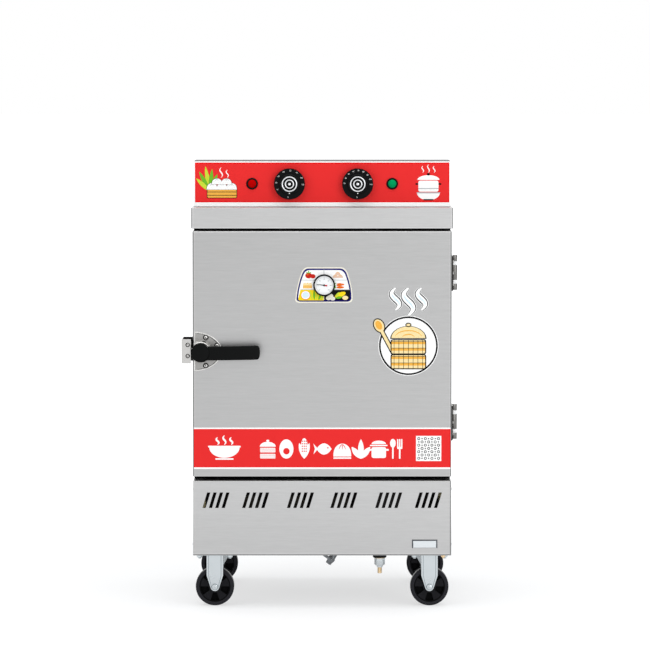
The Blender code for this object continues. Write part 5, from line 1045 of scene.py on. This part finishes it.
# the boss is cut flush with the base's straight edge
bmesh.ops.bisect_plane(
    base, geom=[*base.verts, *base.edges, *base.faces], dist=1e-7, plane_co=(left, 0, 0),
    plane_no=(-1, 0, 0), clear_outer=True,
)
bmesh.ops.holes_fill(base, edges=[e for e in base.edges if e.is_boundary], sides=0)
# dark rings under the screw heads and dark discs in their driver holes are painted shade
screw_seat = [(0.0, 0.0003), (0.0072, 0.0003), (0.0074, -0.0002), (0.0, -0.0002)]
driver_hole = [(0.0, 0.0018), (0.0014, 0.0018), (0.0014, 0.0012), (0.0, 0.0012)]
for across, z in ((-0.3053, 0.7162), (-0.2759, 0.6951), (-0.3054, 0.6422), (-0.2760, 0.6649)):
    at = facing("front", (middle + across, front - 0.0034, z))
    spun(base, screw_seat, at, 24, 1)
    screw(base, "front", (middle + across, front - 0.0036, z), 0.0047)
    spun(base, driver_hole, at, 12, 1)
cast_steel = bright_metal("polished cast steel", "#C9C8C6", 0.22, 0.008)
# painted shade, used for the screw seats, the keeper's bend and the hinge gaps
painted_shade = bright_metal("painted shade in seats, bends and gaps", "#2E2D2C", 0.45, 0.004)
blasted = bright_metal("blasted field of the casting", "#9D9C9A", 0.40, 0.005)
piece(
    "latch_base", base, cast_steel, painted_shade, blasted, body="door", slot="bright_stainless",
    stands_for=["latch_plate"],
)
resurfaced("latch_bolt", "latch_tongue", 0.0008, cast_steel, "bright_stainless", "latch", segments=3)

lever_low, lever_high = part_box("latch_lever")
nylon = moulded("black glass-filled nylon", "#070808", 0.42, 0.0010)
# painted shade: the lever's downward faces and its cap's rim are darker and duller, as they turn from the
# light
nylon_shade_paint = moulded("nylon darkened as painted shade on lower faces and rim", "#020202", 0.65, 0.0010)
nose = front - lever_low.y
cap_radius, cap_depth, spindle = 0.0245, 0.030, 0.0060
lever = bmesh.new()
spun(lever, [
    (0.0, 0.0042), (spindle, 0.0042), (spindle, nose - cap_depth),
    (cap_radius - 0.0006, nose - cap_depth), (cap_radius, nose - cap_depth + 0.0006),
    (cap_radius, nose - 0.0030), (0.0242, nose - 0.0017), (0.0234, nose - 0.0008),
    (0.0221, nose - 0.0002), (0.0203, nose), (0.0, nose - 0.0004),
], boss_at, 80)
# the grip is a unit block, cut across and along, then bowed and tapered
tip = lever_high.x - 0.0010
root = 0.011
reach = tip - pivot - root
grip = bmesh.new()
bmesh.ops.create_cube(grip, size=1.0)
bmesh.ops.transform(grip, matrix=Matrix.Translation((0.5, 0.5, 0.0)), verts=grip.verts)
cuts = [((i / 14, 0, 0), (1, 0, 0)) for i in range(1, 14)]
cuts += [((0, 0, share), (0, 0, 1)) for share in (-0.3, -0.1, 0.1, 0.3)]
for spot, normal in cuts:
    bmesh.ops.bisect_plane(
        grip, geom=[*grip.verts, *grip.edges, *grip.faces], dist=1e-6, plane_co=spot, plane_no=normal,
    )
for vertex in grip.verts:
    share, up = vertex.co.x, vertex.co.z
    depth = 0.0180 - 0.0060 * share
    bow = 0.0050 * (2 * share - 1) ** 2 - 0.0050
    bulge = 0.0034 * (1 - 4 * up * up) - 0.0024 if share > 0.999 else 0.0
    vertex.co = Vector((
        pivot + root + reach * share + bulge,
        lever_low.y + 0.0030 + bow + depth * vertex.co.y,
        level + 0.0024 * share - 0.0018 + (0.0362 + 0.0006 * share) * up,
    ))
at_tip = [v for v in grip.verts if v.co.x > tip - 0.0025 and abs(v.co.z - level) > 0.015]
corners = [e for e in grip.edges if all(v in at_tip for v in e.verts)]
bmesh.ops.bevel(
    grip, geom=corners, offset=0.0060, segments=5, profile=0.5, affect="EDGES", clamp_overlap=True,
    material=-1,
)
sharp = [e for e in grip.edges if e.calc_face_angle(0.0) > radians(50)]
bmesh.ops.bevel(
    grip, geom=sharp, offset=0.0034, segments=4, profile=0.5, affect="EDGES", clamp_overlap=True,
    material=-1,
)
grip_mesh = bpy.data.meshes.new("grip")
grip.to_mesh(grip_mesh)
grip.free()
lever.from_mesh(grip_mesh)
bpy.data.meshes.remove(grip_mesh)
bmesh.ops.recalc_face_normals(lever, faces=lever.faces)
# the downward faces and the cap's rim take the painted shade
for part in lever.faces:
    centre = part.calc_center_median()
    on_rim = 0.0222 < hypot(centre.x - pivot, centre.z - level) < 0.0250
    if part.normal.z < -0.3 or on_rim and centre.y < lever_low.y + 0.0040:
        part.material_index = 1
piece(
    "latch_handle", lever, nylon, nylon_shade_paint, body="latch", slot="black_plastic",
    stands_for=["latch_lever"], broad=2e-3,
)

# Keeper: a bracket bent from polished strip and screwed to the body's left side; its hook
# stands beside the latch, with two screws in its face.
keeper_low, keeper_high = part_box("latch_keeper")
hook = softened("latch_keeper", 0.0006, 3)
foot_trim, side_trim, strip = 0.0045, 0.0016, 0.0033
for vertex in hook.verts:
    if vertex.co.z < keeper_low.z + 0.004:
        vertex.co.z += foot_trim
    if vertex.co.x < keeper_low.x + 0.003:
        vertex.co.x += side_trim
# the faces inside the bend are painted dark as painted shade
for part in hook.faces:
    centre = part.calc_center_median()
    inside = centre.x > keeper_low.x + strip and keeper_low.y + strip < centre.y < keeper_low.y + 0.0845
    if inside and abs(part.normal.z) < 0.5:
        part.material_index = 1
# each front screw sits in a dark ring of painted shade
for z in (0.6987, 0.6695):
    at = facing("front", (middle - 0.352, keeper_low.y, z))
    spun(hook, [(0.0, 0.0002), (0.0058, 0.0002), (0.0060, -0.0003), (0.0, -0.0003)], at, 24, 1)
    screw(hook, "front", (middle - 0.3515, keeper_low.y, z), 0.0040)
for z in (0.662, 0.697):
    for y in (-0.196, -0.178):
        screw(hook, "left", (keeper_high.x - 0.0035, y, z), 0.0036)
strip_steel = bright_metal("polished strip of the keeper", "#B9B8B6", 0.24, 0.04)
piece("keeper_hook", hook, strip_steel, painted_shade, slot="bright_stainless", stands_for=["latch_keeper"])


# Hinges: lift-off hinges of polished stainless, a leaf with two end knuckles and its pin on
# the body, a leaf with the long barrel on the door, and white nylon washers between them.
nylon_white = moulded("white nylon", "#EDEFEF", 0.4, 0.001)
hinge_steel = bright_metal("satin polished hinge leaf", "#A5A4A2", 0.24, 0.02)
barrel_steel = bright_metal("drawn steel of the hinge barrel", "#6E6D6B", 0.22, 0.01)
pin_inset, barrel_reach, door_gap = 0.0079, 0.0088, 0.0040
leaf_screw, leaf_face, leaf_pitch = 0.0042, 0.0032, 0.030


def barrel(bm, x, y, ink):
    """Gives the faces round a hinge pin the finish of the barrel, and the next finish, dark as painted
    shadow, to those beside the door."""
    for part in bm.faces:
        centre = part.calc_center_median()
        if hypot(centre.x - x, centre.y - y) < barrel_reach:
            part.material_index = ink + int(centre.x < x - door_gap)


for name in ("hinge_upper", "hinge_lower"):
    door_leaf, body_leaf = f"{name}_door_leaf", f"{name}_body_leaf"
    low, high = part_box(door_leaf)
    body_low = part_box(body_leaf)[0]
    pin_x, pin_y, z = high.x - pin_inset, high.y - pin_inset, (low.z + high.z) / 2
    fixed = softened(body_leaf, 0.0005)
    barrel(fixed, pin_x, pin_y, 1)
    for y, rises in ((pin_y + 0.0231, (-1, 1)), (pin_y + 0.0451, (-1, 0, 1))):
        for rise in rises:
            screw(fixed, "right", (body_low.x + leaf_face, y, z + rise * leaf_pitch), leaf_screw)
    piece(
        f"{name}_fixed_leaf", fixed, hinge_steel, barrel_steel, painted_shade, slot="bright_stainless",
        stands_for=[body_leaf],
    )
    swinging = softened(door_leaf, 0.0005)
    barrel(swinging, pin_x, pin_y, 2)
    # the leaf's front face is painted dark as painted shade
    for part in swinging.faces:
        if part.normal.y < -0.7 and part.calc_center_median().y < low.y + 0.001:
            part.material_index = 3
    for rise in (-1, 0, 1):
        screw(swinging, "right", (low.x + leaf_face, low.y + 0.016, z + rise * leaf_pitch), leaf_screw)
    for start, end in ((-0.02965, -0.0197), (0.0197, 0.02965)):
        spun(swinging, [
            (0.0068, start), (0.0080, start), (0.0083, start + 0.0004), (0.0083, end - 0.0004),
            (0.0080, end), (0.0068, end),
        ], facing("up", (pin_x, pin_y, z)), 40, 1, closed=True)
    piece(
        f"{name}_swinging_leaf", swinging, hinge_steel, nylon_white, barrel_steel, painted_shade,
        body="door", slot="bright_stainless", stands_for=[door_leaf],
    )


# Casters: mounting plates and forks pressed from sheet and zinc plated, with a riveted axle.
# The wheels are black polypropylene with five deep pockets a side and a smooth tread.
zinc = bright_metal("bright zinc plate", "#C6CCCF", 0.26, 0.05)
# darker zinc as painted shade, for the lines along the fork legs and the seats round the axle heads
zinc_line_shade = bright_metal("zinc darkened as painted shade in lines and seats", "#8B9498", 0.4, 0.02)
polypropylene = moulded("black polypropylene", "#17171A", 0.32, 0.0014)
# the pockets and the groove inside the rim are darkened as painted shade; the rim's outer band is a lighter
# grey
pocket_shade_paint = moulded("pockets and groove darkened as painted shade", "#050506", 0.7, 0.0014)
tread_edge_grey = moulded("lighter grey edge of the tread", "#242428", 0.5, 0.0020)
leg_face = 0.0222
axle_head = [
    (0.0, 0.0052), (0.0026, 0.0050), (0.0046, 0.0042), (0.0056, 0.0026), (0.0058, 0.0006),
    (0.0058, -0.0005), (0.0, -0.0005),
]
axle_seat = [(0.0056, 0.0009), (0.0080, 0.0009), (0.0084, 0.0004), (0.0084, -0.0006), (0.0056, -0.0006)]


def outfit(bm, x, y, z, shoulder=None):
    """Domed axle heads in dark seats of painted shade, and on the front casters dark lines of painted shade
    along the edges of both legs, from the shoulder down."""
    for way, side in (("front", -1), ("back", 1)):
        at = facing(way, (x, y + side * leg_face, z))
        spun(bm, axle_head, at, 32)
        spun(bm, axle_seat, at, 32, 1, closed=True)
        if shoulder:
            panel = y + side * leg_face + (0.0003 if side > 0 else 0.0)
            path = [(0.0172, shoulder), (0.0172, 0.0800), (0.0085, z - 0.004)]
            outline = path + [(px - 0.0014, pz) for px, pz in path[::-1]]
            for hand in (-1, 1):
                printed(bm, panel, ([(x + hand * px, pz) for px, pz in outline], 5, 1))


def bolts(bm, x, y, under):
    """Four hexagon bolts with washers under a mounting plate."""
    washer = [(0.0, 0.0012), (0.0082, 0.0012), (0.0084, 0.0008), (0.0084, -0.0002), (0.0, -0.0002)]
    head = [(0.0, 0.0062), (0.0055, 0.0062), (0.0072, 0.0055), (0.0072, 0.0011), (0.0, 0.0011)]
    shank_end = [(0.0, 0.009), (0.0034, 0.009), (0.0040, 0.0082), (0.0040, 0.0058), (0.0, 0.0058)]
    for bolt_x in (x - 0.040, x + 0.040):
        for bolt_y in (y - 0.030, y + 0.030):
            at = facing("down", (bolt_x, bolt_y, under))
            spun(bm, washer, at, 28)
            spun(bm, head, at, 6)
            spun(bm, shank_end, at, 20)


wheel_radius = 0.0508
side_profile = [
    (0.0053, 0.0168), (0.0118, 0.0168), (0.0128, 0.0160), (0.0132, 0.0138), (0.0168, 0.0136),
    (0.0382, 0.0136), (0.0398, 0.0140), (0.0404, 0.0152), (0.0412, 0.0160), (0.0478, 0.0160),
    (0.0494, 0.0156), (0.0503, 0.0146), (0.0508, 0.0128), (wheel_radius, 0.0),
]
wheel_profile = side_profile + [(r, -h) for r, h in reversed(side_profile[:-1])]
web_face = 0.0130
pocket_middle, pocket_depth, pocket_taper = 0.0290, 0.0105, 0.93
for spot, rear in (("front_left", False), ("front_right", False), ("rear_left", True), ("rear_right", True)):
    name = f"caster_{spot}"
    low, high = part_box(f"{name}_wheel")
    x, y, z = (low.x + high.x) / 2, (low.y + high.y) / 2, wheel_radius
    fork = softened(f"{name}_fork", 0.0006)
    outfit(fork, x, y, z, None if rear else 0.1345)
    if rear:
        plate_low, plate_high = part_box(f"{name}_plate")
        plate_x, plate_y = (plate_low.x + plate_high.x) / 2, (plate_low.y + plate_high.y) / 2
        seat = softened(f"{name}_plate", 0.0005)
        bolts(seat, plate_x, plate_y, plate_high.z - 0.0030)
        piece(f"{name}_seat", seat, zinc, slot="zinc", stands_for=[f"{name}_plate"])
    else:
        bolts(fork, x, y, high.z + 0.0351)
    carrier = f"swivel_{spot}" if rear else "cabinet"
    piece(f"{name}_legs", fork, zinc, zinc_line_shade, body=carrier, slot="zinc", stands_for=[f"{name}_fork"])
    tyre = bmesh.new()
    centre = Vector((x, y, z))
    spun(tyre, wheel_profile, facing("front", centre), 80, 0, closed=True)
    for side in (-1, 1):
        for i in range(5):
            aim = -pi / 2 + 2 * pi * i / 5
            chosen = []
            for face in tyre.faces:
                off = face.calc_center_median() - centre
                away = Vector((off.x, off.z)).angle(Vector((cos(aim), sin(aim))), 0.0)
                on_web = off.y * side > web_face and 0.017 < hypot(off.x, off.z) < 0.038
                if on_web and away < radians(15.8):
                    chosen.append(face)
            deep = bmesh.ops.extrude_face_region(tyre, geom=chosen)["geom"]
            moved = [v for v in deep if isinstance(v, bmesh.types.BMVert)]
            bmesh.ops.delete(tyre, geom=chosen, context="FACES_ONLY")
            bmesh.ops.translate(tyre, verts=moved, vec=(0.0, -side * pocket_depth, 0.0))
            core = centre + Vector((pocket_middle * cos(aim), side * 0.003, pocket_middle * sin(aim)))
            bmesh.ops.scale(
                tyre, vec=(pocket_taper, 1.0, pocket_taper), space=Matrix.Translation(-core), verts=moved,
            )
            for face in {f for v in moved for f in v.link_faces}:
                face.material_index = 1
    # the groove inside the rim takes the painted shade, the rim's outer band the lighter grey
    for face in tyre.faces:
        off = face.calc_center_median() - centre
        radius = hypot(off.x, off.z)
        if abs(off.y) > web_face and radius > 0.0384:
            face.material_index = 1 if radius < 0.0410 else 2
    bmesh.ops.recalc_face_normals(tyre, faces=tyre.faces)
    piece(
        f"{name}_tyre", tyre, polypropylene, pocket_shade_paint, tread_edge_grey, body=f"wheel_{spot}",
        slot="wheel_tread", stands_for=[f"{name}_wheel"], broad=1e-3,
    )


# Water inlet: a steel body screwed up against the base through a black rubber collar, with
# a brass hose nipple below and the brass float valve above it inside the float box.
brass = bright_metal("turned brass", "#E6CBA2", 0.28, 0.006)
rubber = moulded("black rubber", "#191A1B", 0.62, 0.0010)
low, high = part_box("float_valve")
x, y = middle + 0.152, front + 0.028
at = facing("up", (x, y, 0.0))
nipple_end, barb_pitch = 0.0893, 0.0033
nipple = [(0.0, nipple_end), (0.0046, nipple_end)]
for i in range(5):
    z = nipple_end + barb_pitch * i
    nipple += [(0.0052, z + 0.0006), (0.0061, z + 0.0024), (0.0057, z + 0.0031)]
riser, riser_top = 0.0060, high.z - 0.017
inlet = bmesh.new()
for profile, steps, ink in (
    (nipple + [(0.0061, 0.1064), (0.0, 0.1064)], 40, 0),
    ([
        (0.0, 0.1052), (0.0072, 0.1052), (0.0078, 0.1070), (0.0082, 0.1110), (0.0082, 0.1126), (0.0, 0.1126),
    ], 40, 1),
    ([
        (0.0, 0.1098), (0.0105, 0.1098), (0.0140, 0.1134), (0.0140, 0.1285), (0.0132, 0.1308), (0.0, 0.1308),
    ], 6, 1),
    ([(0.0, 0.1300), (0.0135, 0.1300), (0.0135, 0.1320), (0.0, 0.1320)], 40, 0),
    ([
        (0.0, 0.1312), (0.0168, 0.1312), (0.0180, 0.1328), (0.0180, 0.1392), (0.0176, 0.1397), (0.0, 0.1397),
    ], 48, 2),
    ([(0.0, 0.1395), (riser, 0.1395), (riser, riser_top), (0.0, riser_top)], 28, 0),
):
    spun(inlet, profile, at, steps, ink)
head_low = (low.x + 0.0098, y - 0.0085, high.z - 0.0190)
slab(inlet, head_low, (low.x + 0.0268, y + 0.0085, high.z), 0.0012, 3)
valve_pin = [(0.0, 0.0), (0.0020, 0.0), (0.0020, 0.0050), (0.0, 0.0050)]
spun(inlet, valve_pin, facing("front", (x, y - 0.0085, 0.3005)), 20, 0)
piece("water_inlet", inlet, brass, zinc, rubber, slot="brass", stands_for=["float_valve"])

# Drain: a brass elbow from the tank with a small ball valve and a flat pressed lever, both chromed; the
# chrome is darkened as a painted reflection of the dark underside, so they look darker than the zinc beside
# them.
drain_shade_chrome = bright_metal("chrome on brass darkened as painted reflection", "#6E7174", 0.16, 0.006)
resurfaced("drain_elbow", "drain_valve", 0.0004, drain_shade_chrome, "bright_stainless")
resurfaced("drain_blade", "drain_lever", 0.0006, drain_shade_chrome, "zinc", "drain_handle")

# Earth bolt: a turned brass stud under the base's right edge, with the nut that clamps the
# earth wire.
resurfaced("earth_stud", "earth_bolt", 0.0005, brass, "brass")

# Steam outlet: a short flanged pipe of polished stainless through the back wall, held by
# four screws round its flange.
low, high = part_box("steam_outlet")
x, z = (low.x + high.x) / 2, (low.z + high.z) / 2
flange_face, screw_circle = back_high.y + 0.0028, 0.0245
outlet = softened("steam_outlet", 0.0005)
for a in (pi / 4 + pi / 2 * i for i in range(4)):
    screw(outlet, "back", (x + screw_circle * cos(a), flange_face, z + screw_circle * sin(a)), 0.0026)
piece("steam_pipe", outlet, polished, slot="bright_stainless", stands_for=["steam_outlet"])

# Cable gland: black nylon, with a ribbed cap nut outside the housing's back, where it grips
# the supply cord.
low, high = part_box("cable_gland")
x, y, z = (low.x + high.x) / 2, high.y - 0.009, (low.z + high.z) / 2
rib_circle, rib_half = 0.0122, 0.0008
gland = softened("cable_gland", 0.0005)
for a in (2 * pi * (i + 0.5) / 12 for i in range(12)):
    rib_x, rib_z = x + rib_circle * cos(a), z + rib_circle * sin(a)
    rib_low = (rib_x - rib_half, y - 0.005, rib_z - rib_half)
    slab(gland, rib_low, (rib_x + rib_half, y + 0.004, rib_z + rib_half), 0.0003, 1)
piece("gland_nut", gland, nylon, slot="black_plastic", stands_for=["cable_gland"])

# Door gasket and chamber: grey silicone in the door, and a welded stainless chamber behind a
# flat front frame, with brighter trays on folded racks. The foam is cream and open-pored.
silicone = moulded("grey silicone", "#8A8C8E", 0.6, 0.0012)
foam = moulded("cream polyurethane foam", "#E3D6A6", 0.9, 0.0015)
liner_steel = brushed_sheet("brushed stainless of the chamber", "#B0B0B0", 0.36, deep_grain)
# the tank and float box are painted nearly black as painted shade, so they stay dark behind the skirt's
# slots
tank_shade_steel = bright_metal("tank stainless darkened as painted shade", "#1E1D1C", 0.55, 0.03)
# mill-finish stainless, toned darker than the body as painted shade
frame_steel = brushed_sheet("front frame stainless darkened as painted shade", "#828283", 0.5)
# over and under the door the frame is painted black as painted shadow
tree = frame_steel.node_tree
colour = tree.nodes["Principled BSDF"].inputs["Base Color"]
place = put(tree, "ShaderNodeTexCoord").outputs["Object"]
height = put(tree, "ShaderNodeSeparateXYZ", {0: place}).outputs["Z"]
door_middle, door_half = (door_low.z + door_high.z) / 2, (door_high.z - door_low.z) / 2
off = put(tree, "ShaderNodeMath", {0: height, 1: door_middle}, operation="SUBTRACT").outputs[0]
off = put(tree, "ShaderNodeMath", {0: off}, operation="ABSOLUTE").outputs[0]
gap = put(tree, "ShaderNodeMath", {0: off, 1: door_half}, operation="GREATER_THAN").outputs[0]
gap_shadow_paint = put(
    tree, "ShaderNodeMix", {0: gap, 6: colour.links[0].from_socket, 7: linear("#0A0A0A")},
    data_type="RGBA",
)
tree.links.new(gap_shadow_paint.outputs[2], colour)
scaled = bright_metal("oxidised heater tube", "#37342F", 0.5, 0.01)
wear(silicone, "door_gasket")
wear(foam, "insulation", "door_insulation")
wear(frame_steel, "front_frame")
wear(liner_steel, "chamber_liner")
wear(tank_shade_steel, "water_tank", "float_box")
wear(scaled, "heating_element_1", "heating_element_2", "heating_element_3")
wear(polished, "float_arm")
for name in ("rack_left", "rack_right"):
    resurfaced(f"{name}_rails", name, sheet_edge, liner_steel, segments=1)
tray_steel = bright_metal("bright annealed stainless of the trays", "#C7C9CB", 0.24, 0.03)
for name in (f"tray_{number}" for number in range(1, 7)):
    resurfaced(f"{name}_pan", name, lid_edge, tray_steel, "bright_stainless")
